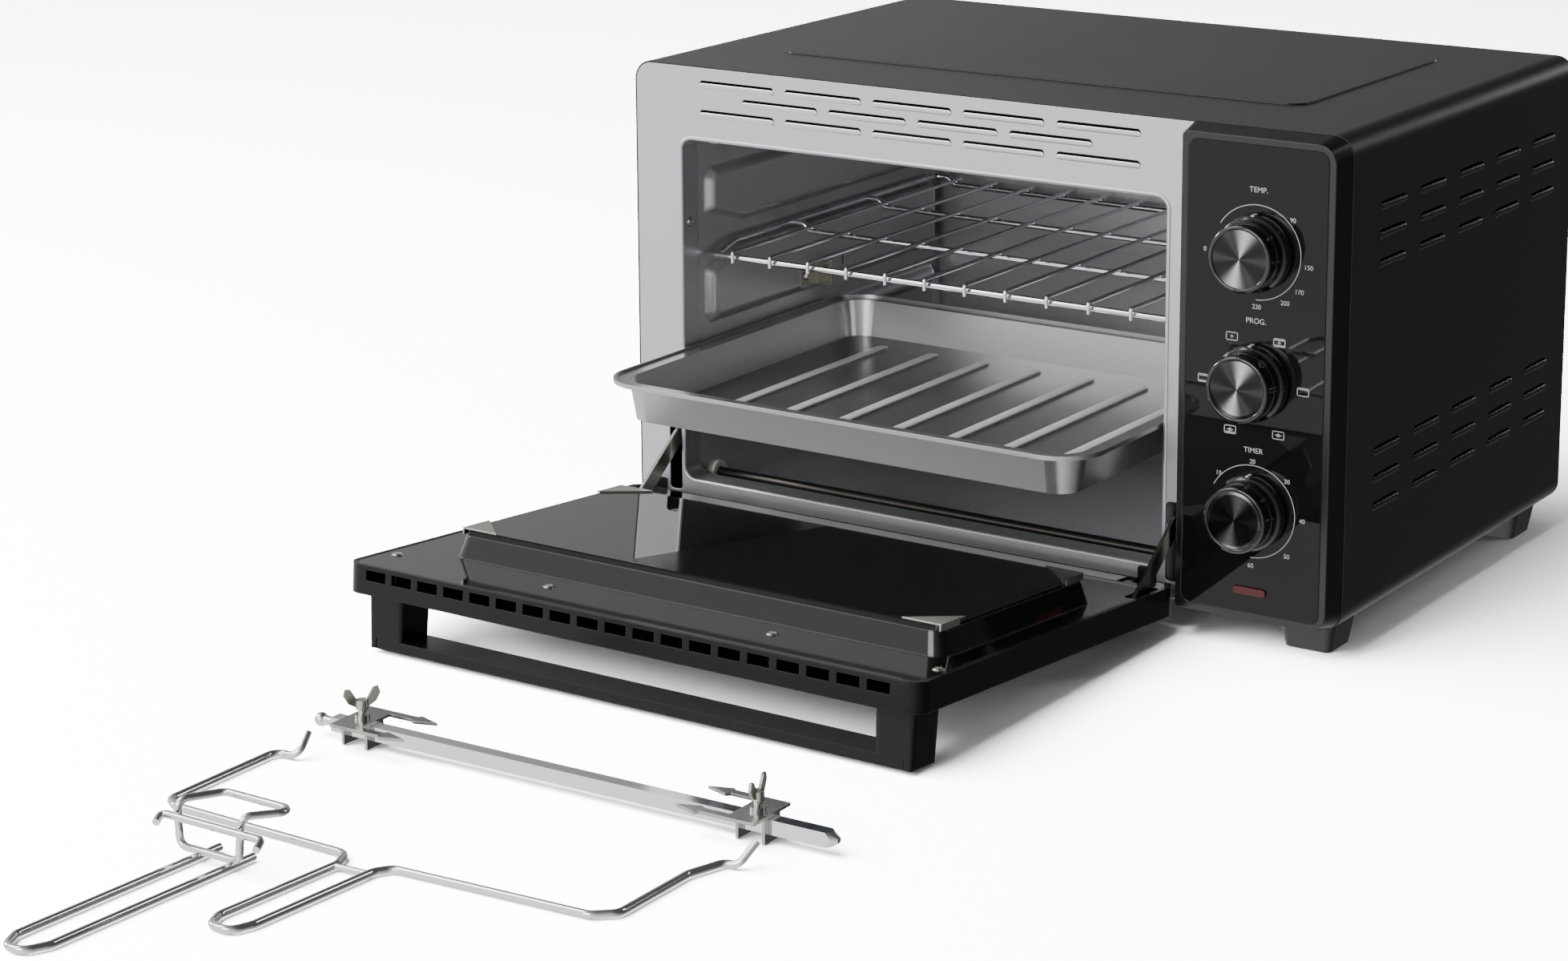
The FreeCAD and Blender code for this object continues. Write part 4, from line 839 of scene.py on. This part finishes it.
def bar_print(x0, x1, z0, z1, y):
    verts = [(x, y - d, z) for d in (0, PRINT_FILM)
             for x, z in ((x0, z0), (x1, z0), (x1, z1), (x0, z1))]
    return verts, BOX_FACES


def program_mark(cx, cz, kind, y, line):
    """Little oven picture: a box with heater lines, a fan cross or a spit."""
    w, h = MARK_HALF
    out = [bar_print(cx - w, cx + w, cz + h - line, cz + h, y),
           bar_print(cx - w, cx + w, cz - h, cz - h + line, y),
           bar_print(cx - w, cx - w + line, cz - h, cz + h, y),
           bar_print(cx + w - line, cx + w, cz - h, cz + h, y)]
    thin = line * 0.9
    x0, x1 = cx - w + 2 * thin, cx + w - 2 * thin
    far, near = 2.6 * line, 1.7 * line
    if "t" in kind:
        out.append(bar_print(x0, x1, cz + h - far, cz + h - near, y))
    if "b" in kind:
        out.append(bar_print(x0, x1, cz - h + near, cz - h + far, y))
    if "f" in kind:
        out.append(bar_print(cx - FAN_HALF, cx + FAN_HALF, cz - thin / 2, cz + thin / 2, y))
        out.append(bar_print(cx - thin / 2, cx + thin / 2, cz - FAN_HALF, cz + FAN_HALF, y))
    if "s" in kind:
        out.append(bar_print(cx - SPIT_HALF, cx + SPIT_HALF, cz - thin / 2, cz + thin / 2, y))
        out.append(ring_print(Vector((cx, 0, cz)), ROAST_RADIUS, 0, 360, thin, y, 24))
    return out


class OVEN_OT_control_panel(bpy.types.Operator):
    """Bezel, glossy fascia, printed dials and the power lamp"""
    bl_idname = "oven.control_panel"
    bl_label = "Control panel"

    def execute(self, context):
        dress(satin_black_plastic(), "control_bezel", "thermostat_body", "program_switch_body",
              "timer_body")
        dress(fascia_gloss(), "control_fascia")
        dress(lamp_red(), "lamp_lens")
        line = details().dial_line
        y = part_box("control_fascia")[0].y - PRINT_STAND_OFF
        centres = {n: dial_centre(n) for n in DIALS}

        def printed(dial, word, height):
            text, dx, dz = word
            c = centres[dial]
            return flat_text(text, (c.x + dx * MM, y, c.z + dz * MM), height)

        sets = [ring_print(centres[n], SCALE_RADIUS, *span, line, y)
                for n, span in SCALE_SPANS.items()]
        for dial, words in NUMBERS.items():
            sets += [printed(dial, word, NUMBER_HEIGHT) for word in words]
        sets += [printed(dial, word, HEADING_HEIGHT) for dial, word in HEADINGS.items()]
        c = centres["program"]
        for kind, dx, dz in PROGRAMS:
            sets += program_mark(c.x + dx * MM, c.z + dz * MM, kind, y, line * 1.1)
        v, f = merge(sets)
        piece("dial_print", v, f, print_white(), "cabinet", smooth=20)
        return {"FINISHED"}


# ---------------------------------------------------------------- dials
# Outline of a knob as (radius, depth) in mm, from its front and then from its back
KNOB_FRONT = ((16.4, 0.9), (16.4, 0.35), (16.7, 0.05), (17.6, 0.0), (18.35, 0.25), (18.8, 0.9),
              (18.9, 2.0), (19.05, 7.2), (18.75, 7.45), (18.65, 7.9), (18.75, 8.35),
              (19.15, 8.6), (19.35, 13.6), (19.9, 14.2), (20.9, 14.9), (21.4, 15.7))
KNOB_BACK = ((21.5, 0.7), (21.1, 0.0), (6.2, 0.0), (6.2, 0.6))

# White pointer on a knob's skirt, in mm
POINTER_RADIUS, POINTER_HALF = 21.3, 0.9
POINTER_BELOW, POINTER_ABOVE = -0.8, 0.55
POINTER_FRONT, POINTER_BACK = 15.2, 0.6

# Spun face of a dial, in mm: rings at one spacing, which dip at the rim, and a rolled edge
FACE_RING, FACE_END, FACE_DEPTH = 0.65, 16.25, 0.62
RIM_START, RIM_DEPTH = 15.6, 0.74
EDGE_RADIUS, EDGE_DEPTHS = 16.3, (0.8, 0.95)


class OVEN_OT_dials(bpy.types.Operator):
    """Knobs with a rolled rim, a groove and a spun metal face"""
    bl_idname = "oven.dials"
    bl_label = "Dials"

    def execute(self, context):
        for name in DIALS:
            body = name + "_knob"
            lo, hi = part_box("knob_" + name)
            axis = dial_centre(name)
            base = Vector((axis.x, lo.y, axis.z))
            depth = hi.y - lo.y
            profile = [(r * MM, d * MM) for r, d in KNOB_FRONT]
            profile += [(r * MM, depth - d * MM) for r, d in KNOB_BACK]
            v, f = lathe(profile, base)
            knob = piece("dial_" + name, v, f, knob_black(), body, smooth=50)
            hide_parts("knob_" + name)
            corners = ((-1, POINTER_BELOW), (1, POINTER_BELOW), (1, POINTER_ABOVE),
                       (-1, POINTER_ABOVE))
            mark = [(base.x + side * POINTER_HALF * MM, base.y + d,
                     base.z + (POINTER_RADIUS + up) * MM)
                    for d in (POINTER_FRONT * MM, depth - POINTER_BACK * MM)
                    for side, up in corners]
            piece("dial_mark_" + name, mark, BOX_FACES, print_white(), body)
            rings = []
            r = 0.0
            while r < FACE_END:
                rings.append((r * MM, (FACE_DEPTH if r < RIM_START else RIM_DEPTH) * MM))
                r += FACE_RING
            rings += [(EDGE_RADIUS * MM, d * MM) for d in EDGE_DEPTHS]
            v, f = lathe(rings, base)
            disc = piece("dial_face_" + name, v, f, spun_disc_metal(name, axis), body,
                         smooth=30)
            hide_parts("knob_disc_" + name)
            dress(zinc_plate(), "shaft_" + name)
        return {"FINISHED"}


# ---------------------------------------------------------------- door
class OVEN_OT_door(bpy.types.Operator):
    """Door frame, pressed inner panel, both panes, clips and screws"""
    bl_idname = "oven.door"
    bl_label = "Door"

    def execute(self, context):
        dress(door_coat(), "door_frame")
        dress(panel_enamel(), "door_inner_panel")
        dress(door_glass(), "door_outer_glass", "door_inner_glass")
        dress(zinc_plate(), "glass_clips", "door_screws", "arm_pins")
        return {"FINISHED"}


class OVEN_OT_handle(bpy.types.Operator):
    """Handle bar with its inlay and posts"""
    bl_idname = "oven.handle"
    bl_label = "Handle"

    def execute(self, context):
        dress(door_coat(), "handle_bar", "handle_posts")
        dress(knob_black(), "handle_inlay")
        return {"FINISHED"}


class OVEN_OT_hinges(bpy.types.Operator):
    """Hinge brackets, arms and springs"""
    bl_idname = "oven.hinges"
    bl_label = "Hinges"

    def execute(self, context):
        dress(hinge_black(), "hinge_brackets")
        dress(zinc_plate(), "hinge_arm_left", "hinge_arm_right", "hinge_spring_left",
              "hinge_spring_right")
        return {"FINISHED"}


# ---------------------------------------------------------------- rack, tray, tools
# Tray ribs: their field's margins inside the tray, and (distance from the end, swell)
RIB_COUNT = 7
RIB_SIDE_MARGIN, RIB_END_MARGIN = 13.5 * MM, 35.5 * MM
RIB_HALF_WIDTH = 3.9 * MM
RIB_BASE, RIB_CROWN = 2.1, 0.75
RIB_END = ((0.0, 0.35), (1.5 * MM, 0.85), (4 * MM, 1.0))
RIB_ARC = range(0, 181, 18)

# Rack, in mm: x from the cabinet's middle, y behind the front plate, z above the table
RACK_X = (-202.1, 123.6)
RACK_Y = (24.0, 287.0)
RACK_SPLICE_Y = 155.5
RACK_HIGH, RACK_LOW = 178.7, 174.2
WIRE_COUNT, WIRE_START, WIRE_PITCH = 11, 19.3, 27.7
WIRE_HEIGHT, WIRE_HOOK = 178.23, 171.73
WIRE_PAST_BACK, WIRE_PAST_FRONT = 1.5, 4.2
CROSS_RODS = (88, 176)
# A rail slopes down over this stretch behind the front bar, and a bar beside each rail
RAIL_SLOPE, BAR_SLOPE = (10, 26), (10, 15)
RAIL_RADIUS, WIRE_RADIUS, CROSS_RADIUS = 2.0 * MM, 1.25 * MM, 1.7 * MM
RAIL_BEND, WIRE_BEND, CROSS_BEND = 6 * MM, 2 * MM, 4 * MM


def tray_ribs():
    """Crowned ribs pressed up from the tray's floor, tapering at both ends."""
    lo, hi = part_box("baking_tray")
    x0, x1 = lo.x + RIB_SIDE_MARGIN, hi.x - RIB_SIDE_MARGIN
    y0, y1 = lo.y + RIB_END_MARGIN, hi.y - RIB_END_MARGIN
    stations = [(y0 + d, swell) for d, swell in RIB_END]
    stations += [(y1 - d, swell) for d, swell in reversed(RIB_END)]
    sets = []
    for k in range(RIB_COUNT):
        x = x0 + (x1 - x0) * (k + 1) / (RIB_COUNT + 1)
        verts = []
        for y, swell in stations:
            for q in RIB_ARC:
                a = math.radians(q)
                verts.append((x + RIB_HALF_WIDTH * swell * math.cos(a), y,
                              lo.z + (RIB_BASE + RIB_CROWN * swell * math.sin(a)) * MM))
        sets.append((verts, tube_faces(len(stations), len(RIB_ARC))))
    return merge(sets)


def bent_rack():
    """Two bent rails, wires hooked over the front rail, and two cross rods."""
    x0, x1 = RACK_X
    y0, y1 = RACK_Y
    ym, hi, lo = RACK_SPLICE_Y, RACK_HIGH, RACK_LOW
    low_y, high_y = (y0 + d for d in RAIL_SLOPE)
    high, low = BAR_SLOPE

    def at(*line):
        return [(MID_X + x * MM, FRONT + y * MM, z * MM) for x, y, z in line]

    sets = [rod(at((x0, ym, hi), (x0, high_y, hi), (x0, low_y, lo), (x0, y0, lo),
                   (x1, y0, lo), (x1, low_y, lo), (x1, high_y, hi), (x1, ym, hi)),
                RAIL_RADIUS, RAIL_BEND),
            rod(at((x0, ym, hi), (x0, y1, hi), (x0 + high, y1, hi), (x0 + low, y1, lo),
                   (x1 - low, y1, lo), (x1 - high, y1, hi), (x1, y1, hi), (x1, ym, hi)),
                RAIL_RADIUS, RAIL_BEND)]
    for k in range(WIRE_COUNT):
        x = x0 + WIRE_START + WIRE_PITCH * k
        tip = y0 - WIRE_PAST_FRONT
        sets.append(rod(at((x, y1 + WIRE_PAST_BACK, WIRE_HEIGHT), (x, tip, WIRE_HEIGHT),
                           (x, tip, WIRE_HOOK)), WIRE_RADIUS, WIRE_BEND, 12))
    for back in CROSS_RODS:
        y = y0 + back
        sets.append(rod(at((x0, y, hi), (x0 + high, y, hi), (x0 + low, y, lo),
                           (x1 - low, y, lo), (x1 - high, y, hi), (x1, y, hi)),
                        CROSS_RADIUS, CROSS_BEND, 12))
    return merge(sets)


class OVEN_OT_rack_and_tray(bpy.types.Operator):
    """Chromed wire rack and satin baking tray"""
    bl_idname = "oven.rack_and_tray"
    bl_label = "Rack and tray"

    def execute(self, context):
        v, f = tray_ribs()
        piece("tray_ribs", v, f, rib_steel(), "tray", smooth=70)
        chrome = bright_chrome()
        dress(chrome, "wire_rack")
        dress(tray_steel(), "baking_tray")
        v, f = bent_rack()
        rack = piece("bent_wire_rack", v, f, chrome, "rack", smooth=60)
        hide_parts("wire_rack")
        return {"FINISHED"}


class OVEN_OT_spit_and_tools(bpy.types.Operator):
    """Spit, forks, wing screws, lifter and tray grip"""
    bl_idname = "oven.spit_and_tools"
    bl_label = "Spit and tools"

    def execute(self, context):
        dress(bright_chrome(), "spit_rod", "spit_lifter", "tray_handle")
        dress(fork_steel(), "fork_left", "fork_right")
        dress(zinc_plate(), "wing_screw_left", "wing_screw_right")
        return {"FINISHED"}


class OVEN_OT_fixings(bpy.types.Operator):
    """Screws, cord bushing and terminal block"""
    bl_idname = "oven.fixings"
    bl_label = "Fixings"

    def execute(self, context):
        dress(zinc_plate(), "cabinet_screws")
        dress(satin_black_plastic(), "cord_bushing")
        dress(steatite(), "terminal_block")
        return {"FINISHED"}


# ---------------------------------------------------------------- stage
TABLE_HALF = 9.0
TABLE_GAP = 0.0005

# The studio's walls are brightest in this direction and fade to the other side
BRIGHT_SIDE = (-0.62, -0.62, -0.48)
FADE_SPAN, FADE_STRENGTH = (-0.75, 0.95), (0.09, 1.7)

# Lamps aim at a point in the cabinet's front: name, place from there, size and power
AIM = Vector((MID_X, FRONT, 0.12))
LAMPS = (("key_above_left", (-1.4, -1.2, 1.7), (1.4, 1.4), 34),
         ("fill_front", (-0.1, -2.3, 0.75), (1.2, 0.7), 26),
         ("strip_behind_right", (1.9, 1.5, 1.3), (0.3, 1.6), 12),
         ("rim_behind", (0.45, 3.3, 0.5), (0.8, 0.5), 12),
         ("glint_left", (-2.3, -0.75, 0.75), (0.35, 0.35), 34))
TABLE_LAMP = ("table_wash", (-1.5, -1.7, 2.6), (3.6, 3.6), 3000)

CAMERA_AT = Vector((MID_X + 1.0516, FRONT - 1.7389, TABLE_Z + 0.6578))
CAMERA_TURN, CAMERA_RISE, CAMERA_ROLL = 34.22, 12.228, -0.387
CAMERA_SENSOR, CAMERA_LENS, CAMERA_SHIFT = 36.0, 82.53, -0.16


def pale_table():
    mesh = bpy.data.meshes.new("table")
    s = TABLE_HALF
    z = TABLE_Z - TABLE_GAP
    mesh.from_pydata([(-s, -s, z), (s, -s, z), (s, s, z), (-s, s, z)], [], [(0, 1, 2, 3)])
    m = bpy.data.materials.new("table_white")
    m.use_nodes = True
    t = m.node_tree
    p = t.nodes["Principled BSDF"]
    set_sockets(p, Specular_IOR_Level=0.2, Roughness=0.6)
    noise = add_node(t, "TexNoise", Scale=3.0)
    tone = colour_mix(t, noise.outputs["Fac"], (0.90, 0.90, 0.90, 1), (0.92, 0.92, 0.92, 1))
    link(t, tone, p.inputs["Base Color"])
    mesh.materials.append(m)
    table = bpy.data.objects.new("table", mesh)
    bpy.context.scene.collection.objects.link(table)
    table.visible_glossy = False
    table.visible_diffuse = False
    return table


def studio_world():
    """White surroundings that are bright on one side and dark on the other."""
    world = bpy.data.worlds.new("studio")
    world.use_nodes = True
    t = world.node_tree
    ground = t.nodes["Background"]
    ground.inputs["Color"].default_value = (1, 1, 1, 1)
    where = add_node(t, "TexCoord")
    toward = vector_maths(t, "DOT_PRODUCT")
    toward.inputs[1].default_value = BRIGHT_SIDE
    fade = add_node(t, "MapRange")
    fade.interpolation_type = "SMOOTHSTEP"
    set_sockets(fade, From_Min=FADE_SPAN[0], From_Max=FADE_SPAN[1],
                To_Min=FADE_STRENGTH[0], To_Max=FADE_STRENGTH[1])
    link(t, where.outputs["Generated"], toward.inputs[0])
    link(t, toward.outputs["Value"], fade.inputs["Value"])
    link(t, fade.outputs["Result"], ground.inputs["Strength"])
    return world


def soft_light(name, place, size, power):
    """A broad lamp aimed at the cabinet's front."""
    data = bpy.data.lights.new(name, "AREA")
    data.shape = "RECTANGLE"
    data.size, data.size_y = size
    data.energy = power
    o = bpy.data.objects.new(name, data)
    bpy.context.scene.collection.objects.link(o)
    o.location = AIM + Vector(place)
    o.rotation_euler = (AIM - o.location).to_track_quat("-Z", "Y").to_euler()
    o.visible_camera = False
    return o


def studio_camera():
    turn, rise = math.radians(CAMERA_TURN), math.radians(CAMERA_RISE)
    roll = math.radians(CAMERA_ROLL)
    back = Vector((math.sin(turn) * math.cos(rise), -math.cos(turn) * math.cos(rise),
                   math.sin(rise)))
    right = (-back).cross(Vector((0, 0, 1))).normalized()
    up = right.cross(-back)
    rolled_right = right * math.cos(roll) + up * math.sin(roll)
    rolled_up = -right * math.sin(roll) + up * math.cos(roll)
    data = bpy.data.cameras.new("camera")
    data.sensor_width = CAMERA_SENSOR
    data.lens = CAMERA_LENS
    data.shift_y = CAMERA_SHIFT
    data.clip_start, data.clip_end = 0.05, 40.0
    camera = bpy.data.objects.new("camera", data)
    bpy.context.scene.collection.objects.link(camera)
    rows = Matrix((rolled_right, rolled_up, back)).transposed().to_4x4()
    camera.matrix_world = Matrix.Translation(CAMERA_AT) @ rows
    return camera


class OVEN_OT_stage(bpy.types.Operator):
    """Pale table, soft studio light and the camera"""
    bl_idname = "oven.stage"
    bl_label = "Stage"

    def execute(self, context):
        table = pale_table()
        context.scene.world = studio_world()
        for lamp in LAMPS:
            soft_light(*lamp)
        only = bpy.data.collections.new("table_light_only")
        only.objects.link(table)
        soft_light(*TABLE_LAMP).light_linking.receiver_collection = only
        context.scene.camera = studio_camera()
        return {"FINISHED"}


# ---------------------------------------------------------------- panel
OPERATORS = (OVEN_OT_cabinet, OVEN_OT_chamber, OVEN_OT_control_panel, OVEN_OT_dials,
             OVEN_OT_door, OVEN_OT_handle, OVEN_OT_hinges, OVEN_OT_rack_and_tray,
             OVEN_OT_spit_and_tools, OVEN_OT_fixings, OVEN_OT_stage)


class OVEN_PT_panel(bpy.types.Panel):
    """Finishes, sizes and build buttons"""
    bl_idname = "OVEN_PT_panel"
    bl_label = "Rotisserie oven"
    bl_space_type = "VIEW_3D"
    bl_region_type = "UI"
    bl_category = "Oven"

    def draw(self, context):
        col = self.layout.column()
        for name in ("shell_colour", "front_colour", "chamber_colour", "tray_colour",
                     "lamp_colour", "edge_radius"):
            col.prop(context.scene.oven_finish, name)
        for name in ("hood_rise", "slit_gap", "ridge_softness", "dial_line", "curve_steps"):
            col.prop(context.scene.oven_detail, name)
        for op in OPERATORS:
            col.operator(op.bl_idname)


CLASSES = (OvenFinishSettings, OvenDetailSettings, *OPERATORS, OVEN_PT_panel)


def register():
    for c in CLASSES:
        bpy.utils.register_class(c)
    bpy.types.Scene.oven_finish = PointerProperty(type=OvenFinishSettings)
    bpy.types.Scene.oven_detail = PointerProperty(type=OvenDetailSettings)


def unregister():
    del bpy.types.Scene.oven_finish
    del bpy.types.Scene.oven_detail
    for c in reversed(CLASSES):
        bpy.utils.unregister_class(c)


def main():
    register()
    bpy.ops.oven.cabinet()
    bpy.ops.oven.chamber()
    bpy.ops.oven.control_panel()
    bpy.ops.oven.dials()
    bpy.ops.oven.door()
    bpy.ops.oven.handle()
    bpy.ops.oven.hinges()
    bpy.ops.oven.rack_and_tray()
    bpy.ops.oven.spit_and_tools()
    bpy.ops.oven.fixings()
    bpy.ops.oven.stage()


if __name__ == "__main__":
    main()
